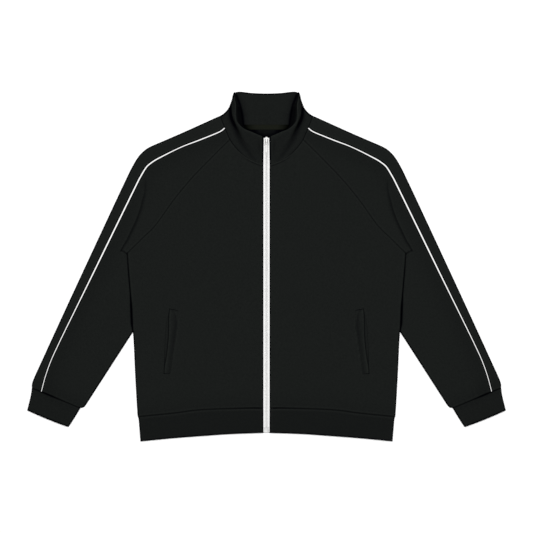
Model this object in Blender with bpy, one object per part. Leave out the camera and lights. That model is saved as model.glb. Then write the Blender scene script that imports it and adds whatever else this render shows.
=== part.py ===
"""A raglan track jacket with a stand collar, zipped up and laid flat on its back.

The jacket lies on the plane z = 0 with its front up. +X runs to the wearer's left sleeve,
+Y from hem to collar, and the origin is under the middle of the jacket's outline. Each cut
piece of cloth is a closed wall of its own. Lengths below are millimetres until MM scales them.
"""

import math
from collections import namedtuple

import bmesh
import bpy
from mathutils import Matrix, Vector

MM = 0.001

# ---- cloth ------------------------------------------------------------------------------
CLOTH = 1.6           # body and sleeve jersey
BAND_CLOTH = 2.2      # doubled cloth of cuffs and hem band
COLLAR_CLOTH = 2.4    # doubled cloth of the stand collar
WELT_CLOTH = 1.4
TAPE_CLOTH = 1.0
PLY_ROOM = 3.0        # slack between the upper and the lower ply
FOLD_DEPTH = 4.5      # width over which a ply turns down to its fold
FOLD_STEP = 1.3       # place of the section point on the round of a fold
SEAM_GAP = 0.3        # between two sewn pieces
SIDE_GAP = 1.0        # between the body's side and the sleeve lying along it
PIPING_WIDTH = 3.6
PIPING_PROUD = 0.8    # height of the piping over the cloth beside it
PIPING_SEAT = 0.1     # height of its foot over the cloth's underside
# Section of the piping: sideways in half widths, up in shares of its height.
PipingPoint = namedtuple("PipingPoint", "side up")
PIPING_PROFILE = [PipingPoint(-1.0, 0.0), PipingPoint(-1.0, 0.55), PipingPoint(-0.55, 1.0),
                  PipingPoint(0.55, 1.0), PipingPoint(1.0, 0.55), PipingPoint(1.0, 0.0)]

# ---- the neck lies higher than the rest, on the seam of the collar ------------------------
NECK_CENTRE = (0.0, 297.0)
NECK_RISE = 2.0
NECK_FULL = 90.0      # full rise inside this distance from the neck's centre
NECK_END = 215.0      # no rise outside this one

# ---- outline of the left half (x > 0), plan points --------------------------------------
ZIP_EDGE = 8.5
NECK_FRONT = [(99.5, 322.0), (95.0, 310.5), (89.5, 296.5), (84.0, 284.5), (78.5, 272.5),
              (68.5, 259.5), (57.0, 248.0), (43.5, 236.5), (27.5, 227.5), (ZIP_EDGE, 221.0)]
NECK_BACK = [(0.0, 295.5), (31.0, 296.5), (56.0, 302.5)]
PIPING_START = 2      # the piping meets the neck at this point of NECK_FRONT
RAGLAN_START = 4      # and the raglan seam at this one
TOP_FOLD = [NECK_FRONT[0], (120.0, 314.0), (143.0, 303.5), (196.5, 279.0), (249.5, 253.5),
            (265.0, 243.5), (276.5, 230.5), (288.0, 211.0), (305.5, 178.5), (338.0, 109.0),
            (402.5, -30.0), (449.5, -132.0), (491.5, -224.0), (501.0, -263.5)]
PIPING_LINE = [NECK_FRONT[PIPING_START], (123.0, 281.0), (180.5, 256.5), (229.0, 233.5),
               (251.5, 221.0), (262.0, 209.0), (273.5, 188.0), (292.0, 149.5), (337.0, 56.0),
               (380.5, -30.0), (426.5, -124.5), (453.0, -178.0), (474.5, -233.5), (484.0, -270.2)]
UNDERARM = (299.5, 27.5)
RAGLAN = [NECK_FRONT[RAGLAN_START], (117.0, 234.0), (161.5, 188.0), (199.5, 142.0),
          (238.5, 88.0), (265.5, 61.0), UNDERARM]
BACK_RAGLAN = [NECK_BACK[-1], (108.5, 245.0), (164.5, 176.5), (218.0, 107.5), (267.5, 56.0),
               UNDERARM]
SIDE_UPPER = [UNDERARM, (296.5, -8.0), (291.5, -63.0), (289.0, -116.0), (287.0, -141.5)]
SIDE_LOWER = [SIDE_UPPER[-1], (283.5, -170.0), (280.5, -232.0), (276.5, -318.0), (275.0, -324.0)]
SLEEVE_LOWER = [SIDE_UPPER[-1], (319.0, -185.5), (357.0, -243.0), (387.0, -291.0),
                (400.5, -303.0)]
CUFF_TOP = [TOP_FOLD[-1], (506.0, -279.5), (512.5, -308.0)]
CUFF_LOWER = [SLEEVE_LOWER[-1], (416.5, -331.0), (426.0, -343.5)]
CUFF_BOW = 3.5        # how far the middle of the cuff's edge stands out from its corners
HEM_SEAM = [(ZIP_EDGE, -306.0), (39.0, -305.5), (139.5, -309.0), (201.5, -316.5),
            SIDE_LOWER[-1]]
HEM_SIDE = [HEM_SEAM[-1], (273.0, -328.0), (270.5, -347.0), (268.5, -375.0)]
HEM_EDGE = [(ZIP_EDGE, -356.5), (139.5, -361.5), (247.5, -373.0), HEM_SIDE[-1]]
WELT_OUTER = [(208.5, -91.0), (215.5, -125.5), (218.0, -154.5), (219.5, -184.0),
              (221.0, -232.0)]
WELT_INNER = [(192.0, -93.5), (192.0, -125.5), (197.0, -166.5), (204.0, -210.5),
              (207.5, -232.5)]

# ---- spans along the seams, shared by the pieces on both sides of each ---------------------
RAGLAN_SPANS = 9
SIDE_UPPER_SPANS = 4
SIDE_LOWER_SPANS = 5
SLEEVE_LOWER_SPANS = 7
SLEEVE_SPANS = RAGLAN_SPANS + SIDE_UPPER_SPANS + SLEEVE_LOWER_SPANS
PIPING_AT_UNDERARM = 0.47      # share of the piping's length that lies before the underarm
ZIP_AT_UNDERARM = (30.0, RAGLAN_SPANS)
ZIP_AT_SIDE = (-135.0, RAGLAN_SPANS + SIDE_UPPER_SPANS)
BACK_COLUMN = 0.8              # one more column of the back, before its fold
SLEEVE_COLUMNS = (0.0, 0.33, 0.66)     # of the sleeve's front, before its fold
FLAP_COLUMN = 0.6              # of the sleeve's back, between top fold and piping
CUFF_ROWS = (0.0, 0.33, 0.67, 1.0)
CUFF_COLUMNS = (0.25, 0.5, 0.75)       # of the cuff, between its folds
BAND_ROWS = (0.0, 0.06, 0.5, 1.0)
WELT_SPANS = 8

# ---- stand collar, left half: where its section turns, middle of the wall ------------------
# Each row is a section from the neck seam over the soft crease and the knee to the top edge.
# Heights of seam and crease are over the ply below; knee and rim are over the floor.
Section = namedtuple("Section", "crease crease_up knee knee_z rim rim_z")
COLLAR_FRONT = [
    Section((79.5, 338.0), 0.0, (72.5, 352.0), 4.3, (69.5, 372.5), 5.0),
    Section((76.5, 338.5), 0.0, (66.5, 349.5), 6.0, (71.0, 361.0), 13.0),
    Section((75.0, 330.0), -1.0, (62.0, 341.5), 5.2, (70.5, 348.0), 18.5),
    Section((73.5, 317.0), -1.4, (58.5, 328.0), 5.2, (68.5, 333.0), 20.5),
    Section((70.0, 303.5), -1.2, (55.5, 314.5), 5.6, (66.0, 319.5), 20.0),
    Section((63.0, 288.5), -0.4, (51.5, 302.0), 8.6, (59.0, 308.5), 18.5),
    Section((53.5, 275.0), 0.4, (48.5, 290.5), 10.6, (48.5, 298.0), 15.5),
    Section((41.5, 262.0), 1.0, (38.5, 281.0), 10.8, (37.0, 290.5), 13.0),
    Section((26.0, 252.0), 1.0, (24.5, 272.5), 10.0, (23.0, 284.0), 11.0),
    Section((ZIP_EDGE, 246.0), 0.8, (ZIP_EDGE, 266.0), 9.2, (ZIP_EDGE, 276.5), 9.6),
]
COLLAR_BACK_SEAM = [*NECK_BACK, (76.5, 311.7), (92.0, 318.6)]
COLLAR_BACK_WAIST = [(0.0, 332.0), (31.5, 333.0), (53.0, 336.0), (65.0, 338.0), (75.0, 339.0)]
COLLAR_BACK_RIM = [(0.0, 369.5), (32.0, 371.0), (52.5, 373.0), (62.0, 374.5), (67.0, 375.0)]
COLLAR_BACK_ROWS = (0.0, 0.2, 0.4, 0.65, 0.85, 1.0)
COLLAR_SWELL = 0.9    # how far the section lifts between seam and crease

# ---- neck tape, zip -------------------------------------------------------------------------
NECK_TAPE = (60.0, 292.5, 305.0)      # half length, lower and upper edge
NECK_TAPE_COLUMNS = (-1.0, -0.33, 0.33, 1.0)
ZIP_TOP = 275.0
ZIP_FOOT = -358.0
ZIP_TURNS = (250.0, 221.0, 180.0, 140.0, 100.0, 60.0, -100.0)   # close where the zip rises
TAPE_INNER = 1.0
TAPE_OUTER = 14.5
CHAIN_HALF = 2.2
CHAIN_HEIGHT = 1.5
CHAIN_SHOULDER = 0.6  # share of the teeth's height at their outer edge
CHAIN_TOP = 257.8
BOX_SIZE = (9.6, 12.0, 3.0)
BOX_ROUND = 0.5
SLIDER_SIZE = (9.2, 16.0, 2.0)
SLIDER_Y = 266.5
SLIDER_ROUND = 0.6
LUG_SIZE = (1.0, 4.0, 3.4)
LUG_ROUND = 0.3
LUG_SUNK = 0.4        # depth of the lugs in the plate
PIN_RADIUS = 0.7
PIN_Y = 262.0
PIN_OVER_PLATE = 2.1
PULL_WIDTH = 4.4
PULL_LENGTH = 19.0
PULL_THICK = 1.4
PULL_ROUND = 0.4
PULL_EYE = 1.6        # outer radius of the pull's eye
PULL_SLOPE = 7.0      # degrees by which the pull slopes down to the teeth

# ---- colours: linear base colour, roughness, metallic ---------------------------------------
BLACK_JERSEY = ((0.0110, 0.0123, 0.0116), 0.85, 0.0)
BLACK_TAPE = ((0.0130, 0.0135, 0.0090), 0.80, 0.0)
WHITE_CORD = ((0.85, 0.85, 0.85), 0.55, 0.0)
WHITE_TAPE = ((0.88, 0.88, 0.88), 0.75, 0.0)
WHITE_NYLON = ((0.82, 0.82, 0.82), 0.40, 0.0)


# ==== lines and grids =======================================================================

class Line:
    """A plan line through points, smooth or straight, read by the share of its length."""

    STEPS = 8

    def __init__(self, corners, smooth=True):
        corners = [Vector(corner) for corner in corners]
        self.points = rounded(corners, self.STEPS) if smooth else corners
        self.reach = [0.0]
        for before, after in zip(self.points, self.points[1:]):
            self.reach.append(self.reach[-1] + (after - before).length)

    def at(self, share):
        wanted = share * self.reach[-1]
        for index in range(1, len(self.points)):
            if wanted <= self.reach[index] or index == len(self.points) - 1:
                step = self.reach[index] - self.reach[index - 1]
                return self.points[index - 1].lerp(self.points[index],
                                                   (wanted - self.reach[index - 1]) / step)

    def spans(self, count):
        return [self.at(index / count) for index in range(count + 1)]

    def distance(self, spot):
        return min(from_segment(spot, before, after)
                   for before, after in zip(self.points, self.points[1:]))


def rounded(corners, steps):
    """Points of a Catmull-Rom curve through the corners, in the plane or in space."""
    ends = [2 * corners[0] - corners[1], *corners, 2 * corners[-1] - corners[-2]]
    curve = []
    for index in range(1, len(ends) - 2):
        before, start, finish, after = ends[index - 1:index + 3]
        for step in range(steps):
            share = step / steps
            curve.append(0.5 * (2 * start + (finish - before) * share
                                + (2 * before - 5 * start + 4 * finish - after) * share ** 2
                                + (3 * start - before - 3 * finish + after) * share ** 3))
    return [*curve, corners[-1]]


def from_segment(spot, start, finish):
    along = finish - start
    share = max(0.0, min(1.0, (spot - start).dot(along) / along.length_squared))
    return (spot - start - along * share).length


def smooth_step(share):
    share = max(0.0, min(1.0, share))
    return share * share * (3.0 - 2.0 * share)


def between(start, finish, share):
    return start + (finish - start) * share


def coons(first_row, last_row, first_column, last_column, row_shares, column_shares):
    """Plan grid spanned by four border lines that meet at their ends."""
    grid = []
    for row, down in enumerate(row_shares):
        line = []
        for column, over in enumerate(column_shares):
            ruled = first_row[column].lerp(last_row[column], down)
            crossed = first_column[row].lerp(last_column[row], over)
            corner = first_row[0].lerp(first_row[-1], over).lerp(
                last_row[0].lerp(last_row[-1], over), down)
            line.append(ruled + crossed - corner)
        grid.append(line)
    return grid


def border_squares(line, inner):
    """Plan directions square to a border line, towards the line next to it."""
    squares = []
    last = len(line) - 1
    for index, spot in enumerate(line):
        before = (spot - line[max(index - 1, 0)]).xy
        after = (line[min(index + 1, last)] - spot).xy
        along = before + after
        if along.length < 0.8 * (before.length + after.length):
            along = before - after      # the line doubles back at a fold
        square = Vector((-along.y, along.x)).normalized()
        if square.dot((inner[index] - spot).xy) < 0:
            square.negate()
        squares.append(square)
    return squares


def inset(grid, first_row=0.0, last_row=0.0, first_column=0.0, last_column=0.0):
    """Move the borders of a grid inwards in plan; an amount is a number or one for each point."""
    rows, columns = len(grid), len(grid[0])
    moves = [[Vector((0.0, 0.0)) for _ in range(columns)] for _ in range(rows)]
    turned = [[grid[row][column] for row in range(rows)] for column in range(columns)]
    for border, beside, amount in ((0, 1, first_row), (rows - 1, rows - 2, last_row)):
        for column, step in enumerate(border_steps(grid, border, beside, amount)):
            moves[border][column] += step
    for border, beside, amount in ((0, 1, first_column), (columns - 1, columns - 2, last_column)):
        for row, step in enumerate(border_steps(turned, border, beside, amount)):
            moves[row][border] += step
    return [[spot + move.to_3d() for spot, move in zip(line, steps)]
            for line, steps in zip(grid, moves)]


def border_steps(lines, border, beside, amount):
    """Plan steps of one border line; its two corners slide along the borders they also lie on."""
    line, inner = lines[border], lines[beside]
    amounts = amount if isinstance(amount, list) else [amount] * len(line)
    squares = border_squares(line, inner)
    steps = [square * step for square, step in zip(squares, amounts)]
    for corner in (0, len(line) - 1):
        slide = (inner[corner] - line[corner]).xy.normalized()
        steps[corner] = slide * amounts[corner] / max(0.3, slide.dot(squares[corner]))
    return steps


# ==== heights ===============================================================================

def neck_rise(spot):
    away = (Vector((spot[0], spot[1])) - Vector(NECK_CENTRE)).length
    return NECK_RISE * smooth_step((NECK_END - away) / (NECK_END - NECK_FULL))


def lay_height(spot, cloth=CLOTH):
    """Top of the upper ply away from its folds."""
    return CLOTH + PLY_ROOM + cloth + neck_rise(spot)


def fold_share(distance):
    """Share of its full height that a ply has at this distance from its fold."""
    short = 1.0 - min(distance / FOLD_DEPTH, 1.0)
    return math.sqrt(1.0 - short * short)


def upper(spot, folds, cloth=CLOTH, gap=0.0):
    distance = min(fold.distance(spot) for fold in folds)
    top, share = lay_height(spot, cloth), fold_share(distance)
    return Vector((spot.x, spot.y, top * (0.5 + 0.5 * share) + 0.5 * gap * (1.0 - share)))


def lower(spot, folds, cloth=CLOTH, gap=0.0):
    distance = min(fold.distance(spot) for fold in folds)
    middle, share = 0.5 * lay_height(spot, cloth), fold_share(distance)
    return Vector((spot.x, spot.y, (middle - 0.5 * gap) * (1.0 - share)))


# ==== meshes ================================================================================

def grid_normals(grid, level_columns=()):
    """Unit normals of a grid; level_columns are fold edges, whose normal lies level.

    The normals of the first and last row lie in the seam's plane, so that its cut is upright.
    """
    rows, columns = len(grid), len(grid[0])
    normals = []
    for row in range(rows):
        line = []
        for column in range(columns):
            across = grid[row][min(column + 1, columns - 1)] - grid[row][max(column - 1, 0)]
            along = grid[min(row + 1, rows - 1)][column] - grid[max(row - 1, 0)][column]
            normal = across.cross(along)
            if column in level_columns:
                normal.z = 0.0
            line.append(normal.normalized())
        normals.append(line)
    for row, beside in ((0, 1), (rows - 1, rows - 2)):
        for column, square in enumerate(border_squares(grid[row], grid[beside])):
            normal = normals[row][column]
            along = square.to_3d() * normal.dot(square.to_3d())
            normals[row][column] = (normal - along).normalized()
    return normals


def offset(grid, normals, amount):
    return [[spot + normal * amount for spot, normal in zip(line, facing)]
            for line, facing in zip(grid, normals)]


def wall_mesh(name, skin, lining, ring=False):
    """Close two matching grids into one wall; a ring joins its last column to its first."""
    mesh = bmesh.new()
    sheets = [[[mesh.verts.new(spot * MM) for spot in line] for line in grid]
              for grid in (skin, lining)]
    rows, columns = len(skin), len(skin[0])
    over = range(columns if ring else columns - 1)
    for sheet in sheets:
        for row in range(rows - 1):
            for column in over:
                beside = (column + 1) % columns
                mesh.faces.new((sheet[row][column], sheet[row][beside],
                                sheet[row + 1][beside], sheet[row + 1][column]))
    outer, inner = sheets
    for row in (0, rows - 1):
        for column in over:
            beside = (column + 1) % columns
            mesh.faces.new((outer[row][column], outer[row][beside],
                            inner[row][beside], inner[row][column]))
    if not ring:
        for column in (0, columns - 1):
            for row in range(rows - 1):
                mesh.faces.new((outer[row][column], outer[row + 1][column],
                                inner[row + 1][column], inner[row][column]))
    bmesh.ops.recalc_face_normals(mesh, faces=mesh.faces)
    return finished(mesh, name)


def tube_mesh(name, rings):
    """Close a run of equal rings into one solid with flat ends."""
    mesh = bmesh.new()
    loops = [[mesh.verts.new(spot * MM) for spot in ring] for ring in rings]
    count = len(loops[0])
    for before, after in zip(loops, loops[1:]):
        for index in range(count):
            beside = (index + 1) % count
            mesh.faces.new((before[index], before[beside], after[beside], after[index]))
    mesh.faces.new(loops[0])
    mesh.faces.new(loops[-1])
    bmesh.ops.recalc_face_normals(mesh, faces=mesh.faces)
    return finished(mesh, name)


def finished(mesh, name):
    data = bpy.data.meshes.new(name)
    mesh.to_mesh(data)
    mesh.free()
    data.shade_smooth()
    data.set_sharp_from_angle(angle=math.radians(40.0))
    return data


def mirrored(data, name):
    """The same piece for the other half of the body."""
    mesh = bmesh.new()
    mesh.from_mesh(data)
    for vertex in mesh.verts:
        vertex.co.x = -vertex.co.x
    bmesh.ops.reverse_faces(mesh, faces=mesh.faces)
    return finished(mesh, name)


def material(name, finish):
    colour, roughness, metallic = finish
    surface = bpy.data.materials.new(name)
    surface.use_nodes = True
    shader = surface.node_tree.nodes["Principled BSDF"]
    shader.inputs["Base Color"].default_value = (*colour, 1.0)
    shader.inputs["Roughness"].default_value = roughness
    shader.inputs["Metallic"].default_value = metallic
    return surface


def place(data, finish, parent):
    """Put a mesh in the scene as a node of the part, with its own material."""
    node = bpy.data.objects.new(data.name, data)
    data.materials.append(material(data.name, finish))
    node.parent = parent
    bpy.context.scene.collection.objects.link(node)
    return node


def place_pair(stem, data, finish, parent):
    """A piece made for the wearer's left, and its mirror for the right."""
    data.name = stem + "_left"
    place(data, finish, parent)
    place(mirrored(data, stem + "_right"), finish, parent)


# ==== shared seam points ====================================================================

neck_front = [Vector(spot) for spot in NECK_FRONT]
side_upper, side_lower = Line(SIDE_UPPER), Line(SIDE_LOWER)
sleeve_lower, top_fold = Line(SLEEVE_LOWER), Line(TOP_FOLD)
body_folds = [side_upper, side_lower]
sleeve_folds = [side_upper, sleeve_lower, top_fold]
raglan_spots = Line(RAGLAN).spans(RAGLAN_SPANS)
back_raglan_spots = Line(BACK_RAGLAN).spans(RAGLAN_SPANS)
side_spots = [*side_upper.spans(SIDE_UPPER_SPANS)[1:], *side_lower.spans(SIDE_LOWER_SPANS)[1:]]
sleeve_fold_spots = [*side_upper.spans(SIDE_UPPER_SPANS)[1:],
                     *sleeve_lower.spans(SLEEVE_LOWER_SPANS)[1:]]


def sleeve_shares():
    """Shares of the piping's and the top fold's length for the spans along the sleeve."""
    before = [PIPING_AT_UNDERARM * index / RAGLAN_SPANS for index in range(RAGLAN_SPANS)]
    rest = SLEEVE_SPANS - RAGLAN_SPANS
    after = [between(PIPING_AT_UNDERARM, 1.0, index / rest) for index in range(rest + 1)]
    return before + after


piping_line = Line(PIPING_LINE)
piping_spots = [piping_line.at(share) for share in sleeve_shares()]
top_spots = [top_fold.at(share) for share in sleeve_shares()]


def zip_shares():
    """Shares down the zip edge for the rows that end on the raglan and on the side."""
    top, foot = NECK_FRONT[-1][1], HEM_SEAM[0][1]
    stops = [(top, 0), ZIP_AT_UNDERARM, ZIP_AT_SIDE, (foot, len(raglan_spots + side_spots) - 1)]
    heights = []
    for (high, start), (low, finish) in zip(stops, stops[1:]):
        heights += [between(high, low, step / (finish - start)) for step in range(finish - start)]
    return [(top - height) / (top - foot) for height in [*heights, foot]]


def width_shares(corners, width):
    """Shares of a straight-sided line at its corners, with two more beside the fold at its end."""
    line = Line(corners, smooth=False)
    shares = [reach / line.reach[-1] for reach in line.reach]
    return shares[:-1] + [1.0 - FOLD_DEPTH / width, 1.0 - FOLD_STEP / width, 1.0]


body_half = UNDERARM[0]
front_shares = width_shares(NECK_FRONT[:RAGLAN_START - 1:-1], body_half)
back_shares = width_shares(NECK_BACK, body_half)
back_shares = back_shares[:-3] + [BACK_COLUMN] + back_shares[-3:]
hem_seam = Line(HEM_SEAM)
hem_edge = Line(HEM_EDGE)


# ==== body ==================================================================================

def front_panel():
    """Front from the zip to the side fold, under the collar and the raglan seam."""
    neck = Line(NECK_FRONT[:RAGLAN_START - 1:-1], smooth=False)
    rows = zip_shares()
    zip_edge = Line([NECK_FRONT[-1], HEM_SEAM[0]], smooth=False)
    plan = coons([neck.at(share) for share in front_shares],
                 [hem_seam.at(share) for share in front_shares],
                 [zip_edge.at(share) for share in rows],
                 raglan_spots + side_spots, rows, front_shares)
    grid = [[upper(spot, body_folds, gap=SEAM_GAP) for spot in line] for line in plan]
    outer = [SEAM_GAP / 2] * RAGLAN_SPANS + [SIDE_GAP / 2] * (SIDE_UPPER_SPANS + 1)
    outer += [0.0] * SIDE_LOWER_SPANS
    grid = inset(grid, SEAM_GAP / 2, SEAM_GAP / 2, 0.0, outer)
    return wall(grid, "front_panel", CLOTH, facing=1, raglan_rows=RAGLAN_SPANS)


def back_panel():
    """Back from side fold to side fold, flat on the floor."""
    neck = Line(NECK_BACK, smooth=False)
    rows = zip_shares()
    shares = [-share for share in back_shares[:0:-1]] + back_shares

    def both_sides(line):
        points = []
        for share in shares:
            spot = line.at(abs(share))
            points.append(Vector((spot.x if share >= 0 else -spot.x, spot.y)))
        return points

    hem = Line([(0.0, HEM_SEAM[0][1]), *HEM_SEAM[1:]])
    right = back_raglan_spots + side_spots
    left = [Vector((-spot.x, spot.y)) for spot in right]
    columns = [0.5 + 0.5 * share for share in shares]
    plan = coons(both_sides(neck), both_sides(hem), left, right, rows, columns)
    folds = body_folds + [Line([(-x, y) for x, y in line]) for line in (SIDE_UPPER, SIDE_LOWER)]
    grid = [[lower(spot, folds, gap=SEAM_GAP) for spot in line] for line in plan]
    outer = [SEAM_GAP / 2] * RAGLAN_SPANS + [SIDE_GAP / 2] * (SIDE_UPPER_SPANS + 1)
    outer += [0.0] * SIDE_LOWER_SPANS
    grid = inset(grid, SEAM_GAP / 2, SEAM_GAP / 2, outer, outer)
    return wall(grid, "back_panel", CLOTH, facing=-1, raglan_rows=RAGLAN_SPANS, both=True)


def wall(grid, name, cloth, facing, raglan_rows, both=False):
    """Thicken a body or sleeve grid inwards; below the raglan its last column is a fold."""
    rows = len(grid)
    last = len(grid[0]) - 1
    levels = {last, 0} if both else {last}
    plain = grid_normals(grid)
    turned = grid_normals(grid, levels)
    normals = [plain[row] if row < raglan_rows else turned[row] for row in range(rows)]
    sign = 1.0 if normals[rows // 2][last // 2].z * facing > 0 else -1.0
    return wall_mesh(name, grid, offset(grid, normals, -sign * cloth))


# ==== sleeves ===============================================================================

def sleeve_front():
    """Sleeve part from the piping down to the raglan seam and the lower fold."""
    lower_spots = raglan_spots + sleeve_fold_spots
    grid = []
    for high, low in zip(piping_spots, lower_spots):
        width = (low - high).length
        shares = [*SLEEVE_COLUMNS, 1.0 - FOLD_DEPTH / width, 1.0 - FOLD_STEP / width, 1.0]
        folds = [side_upper, sleeve_lower]
        grid.append([upper(high.lerp(low, share), folds, gap=SEAM_GAP) for share in shares])
    grid = inset(grid, SEAM_GAP / 2, SEAM_GAP / 2, PIPING_WIDTH / 2 + SEAM_GAP, sleeve_edge())
    return wall(grid, "sleeve_front", CLOTH, facing=1, raglan_rows=RAGLAN_SPANS)


def sleeve_edge():
    """Gaps along the raglan seam, the body's side and the free lower fold."""
    return ([SEAM_GAP / 2] * RAGLAN_SPANS + [SIDE_GAP / 2] * (SIDE_UPPER_SPANS + 1)
            + [0.0] * SLEEVE_LOWER_SPANS)


def sleeve_back():
    """Sleeve part from the piping over the top fold and under to the lower fold."""
    lower_spots = back_raglan_spots + sleeve_fold_spots
    grid = []
    for high, fold, low in zip(piping_spots, top_spots, lower_spots):
        width, flap = (fold - low).length, (fold - high).length
        under = [1.0, 1.0 - FOLD_STEP / width, 1.0 - FOLD_DEPTH / width, 0.5,
                 FOLD_DEPTH / width, FOLD_STEP / width, 0.0]
        over = [FOLD_STEP / flap, FOLD_DEPTH / flap, FLAP_COLUMN, 1.0]
        line = [upper(fold.lerp(high, share), sleeve_folds) for share in reversed(over)]
        line += [lower(low.lerp(fold, share), sleeve_folds, gap=SEAM_GAP if share < 0.5 else 0.0)
                 for share in under]
        grid.append(line)
    grid = inset(grid, SEAM_GAP / 2, SEAM_GAP / 2, PIPING_WIDTH / 2 + SEAM_GAP, sleeve_edge())
    return wall(grid, "sleeve_back", CLOTH, facing=-1, raglan_rows=RAGLAN_SPANS)


def piping():
    """Round-topped cord in the gap between the two sleeve parts."""
    last = len(piping_spots) - 1
    rings = []
    for index, spot in enumerate(piping_spots):
        along = (piping_spots[min(index + 1, last)] - piping_spots[max(index - 1, 0)]).normalized()
        square = Vector((-along.y, along.x))
        centre = spot.copy()
        if index == 0:
            centre += along * SEAM_GAP * 2
        if index == last:
            centre -= along * SEAM_GAP * 2
        foot = lay_height(spot) - CLOTH + PIPING_SEAT
        head = lay_height(spot) + PIPING_PROUD
        rings.append([Vector((*(centre + square * point.side * PIPING_WIDTH / 2),
                              between(foot, head, point.up))) for point in PIPING_PROFILE])
    return tube_mesh("piping", rings)


def cuff():
    """Flattened tube of doubled cloth at the sleeve's end."""
    top, low = Line(CUFF_TOP), Line(CUFF_LOWER)
    folds = [top, low]
    grid = []
    for share in CUFF_ROWS:
        high, deep = top.at(share), low.at(share)
        across = deep - high
        width = across.length
        stops = [0.0, FOLD_STEP / width, FOLD_DEPTH / width, *CUFF_COLUMNS,
                 1.0 - FOLD_DEPTH / width, 1.0 - FOLD_STEP / width, 1.0]
        bow = Vector((-across.y, across.x)).normalized() * CUFF_BOW * share
        spots = [high.lerp(deep, stop) + bow * 4.0 * stop * (1.0 - stop) for stop in stops]
        line = [upper(spot, folds, BAND_CLOTH) for spot in spots]
        line += [lower(spot, folds, BAND_CLOTH) for spot in spots[-2:0:-1]]
        grid.append(line)
    down_sleeve = (top.points[1] - top.points[0]).normalized().to_3d()
    grid[0] = [spot + down_sleeve * SEAM_GAP / 2 for spot in grid[0]]
    return wall_mesh("cuff", grid, offset(grid, ring_normals(grid), -BAND_CLOTH), ring=True)


def ring_normals(grid):
    """Outward unit normals of a closed ring of columns."""
    wrapped = [[line[-1], *line, line[0]] for line in grid]
    normals = [line[1:-1] for line in grid_normals(wrapped)]
    highest = max(range(len(grid[0])), key=lambda column: grid[0][column].z)
    if normals[0][highest].z < 0:
        normals = [[-normal for normal in line] for line in normals]
    return normals


def hem_band():
    """Doubled band from zip edge to zip edge, round both side folds and across the back."""
    side = Line(HEM_SIDE)
    mirror_side = Line([(-x, y) for x, y in HEM_SIDE])
    folds = [side, mirror_side]
    back_seam = Line([(0.0, HEM_SEAM[0][1]), *HEM_SEAM[1:]])
    back_edge = Line([(0.0, HEM_EDGE[0][1]), *HEM_EDGE[1:]])
    grid = []
    for down in BAND_ROWS:
        bow = side.at(down).x - between(HEM_SEAM[-1][0], HEM_EDGE[-1][0], down)
        front = [hem_seam.at(share).lerp(hem_edge.at(share), down) + Vector((bow * share, 0.0))
                 for share in front_shares]
        back = [back_seam.at(share).lerp(back_edge.at(share), down) + Vector((bow * share, 0.0))
                for share in back_shares]
        half = [upper(spot, folds, BAND_CLOTH) for spot in front]
        half += [lower(spot, folds, BAND_CLOTH) for spot in back[-2::-1]]
        other = [Vector((-spot.x, spot.y, spot.z)) for spot in half[-2::-1]]
        grid.append(half + other)
    grid = inset(grid, SEAM_GAP / 2)
    normals = grid_normals(grid)
    sign = 1.0 if normals[1][0].z > 0 else -1.0
    return wall_mesh("hem_band", grid, offset(grid, normals, -sign * BAND_CLOTH))


# ==== collar ================================================================================

def collar():
    """Stand collar: flat on the floor behind, its sides and front standing up off the fronts."""
    front = []
    for index, section in enumerate(COLLAR_FRONT):
        seam = neck_front[index].copy()
        base = lay_height(seam) - CLOTH + COLLAR_CLOTH / 2
        if index == 0:
            base = lay_height(seam) / 2
            seam = seam.lerp(Vector(section.crease), 0.05)
        foot = Vector((*seam, base))
        crease = Vector((*section.crease, base + section.crease_up))
        knee = Vector((*section.knee, section.knee_z))
        rim = Vector((*section.rim, section.rim_z))
        swell = foot.lerp(crease, 0.5)
        swell.z += COLLAR_SWELL if index else 0.0
        front.append([foot, swell, crease, knee, knee.lerp(rim, 0.5), rim])
    back = []
    for seam, waist, rim in zip(COLLAR_BACK_SEAM, COLLAR_BACK_WAIST, COLLAR_BACK_RIM):
        line = Line([seam, waist, rim])
        back.append([Vector((*line.at(share), COLLAR_CLOTH / 2))
                     for share in COLLAR_BACK_ROWS])
    half = back + front
    whole = [[Vector((-spot.x, spot.y, spot.z)) for spot in line] for line in half[:0:-1]] + half
    middle = [rounded(line, 2) for line in whole]
    middle = inset(middle, 0.0, 0.0, SEAM_GAP / 2, 0.0)
    normals = grid_normals(middle)
    thick = COLLAR_CLOTH / 2
    return wall_mesh("collar", offset(middle, normals, thick), offset(middle, normals, -thick))


def neck_tape():
    """Tape over the back neck seam, on the inside of the back collar."""
    half, low, high = NECK_TAPE
    foot = COLLAR_CLOTH + SEAM_GAP
    rows = [[Vector((side * half, height, foot + TAPE_CLOTH)) for side in NECK_TAPE_COLUMNS]
            for height in (low, high)]
    under = [[spot - Vector((0.0, 0.0, TAPE_CLOTH)) for spot in line] for line in rows]
    return wall_mesh("neck_tape", rows, under)


# ==== pockets ===============================================================================

def pocket_welt():
    """Welt of the slanted pocket, lying on the front."""
    outer, inner = Line(WELT_OUTER), Line(WELT_INNER)
    grid = []
    for index in range(WELT_SPANS + 1):
        share = index / WELT_SPANS
        line = []
        for over in (0.0, 0.5, 1.0):
            spot = outer.at(share).lerp(inner.at(share), over)
            line.append(Vector((*spot, lay_height(spot) + SEAM_GAP + WELT_CLOTH)))
        grid.append(line)
    under = [[spot - Vector((0.0, 0.0, WELT_CLOTH)) for spot in line] for line in grid]
    return wall_mesh("pocket_welt", grid, under)


# ==== zip ===================================================================================

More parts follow.
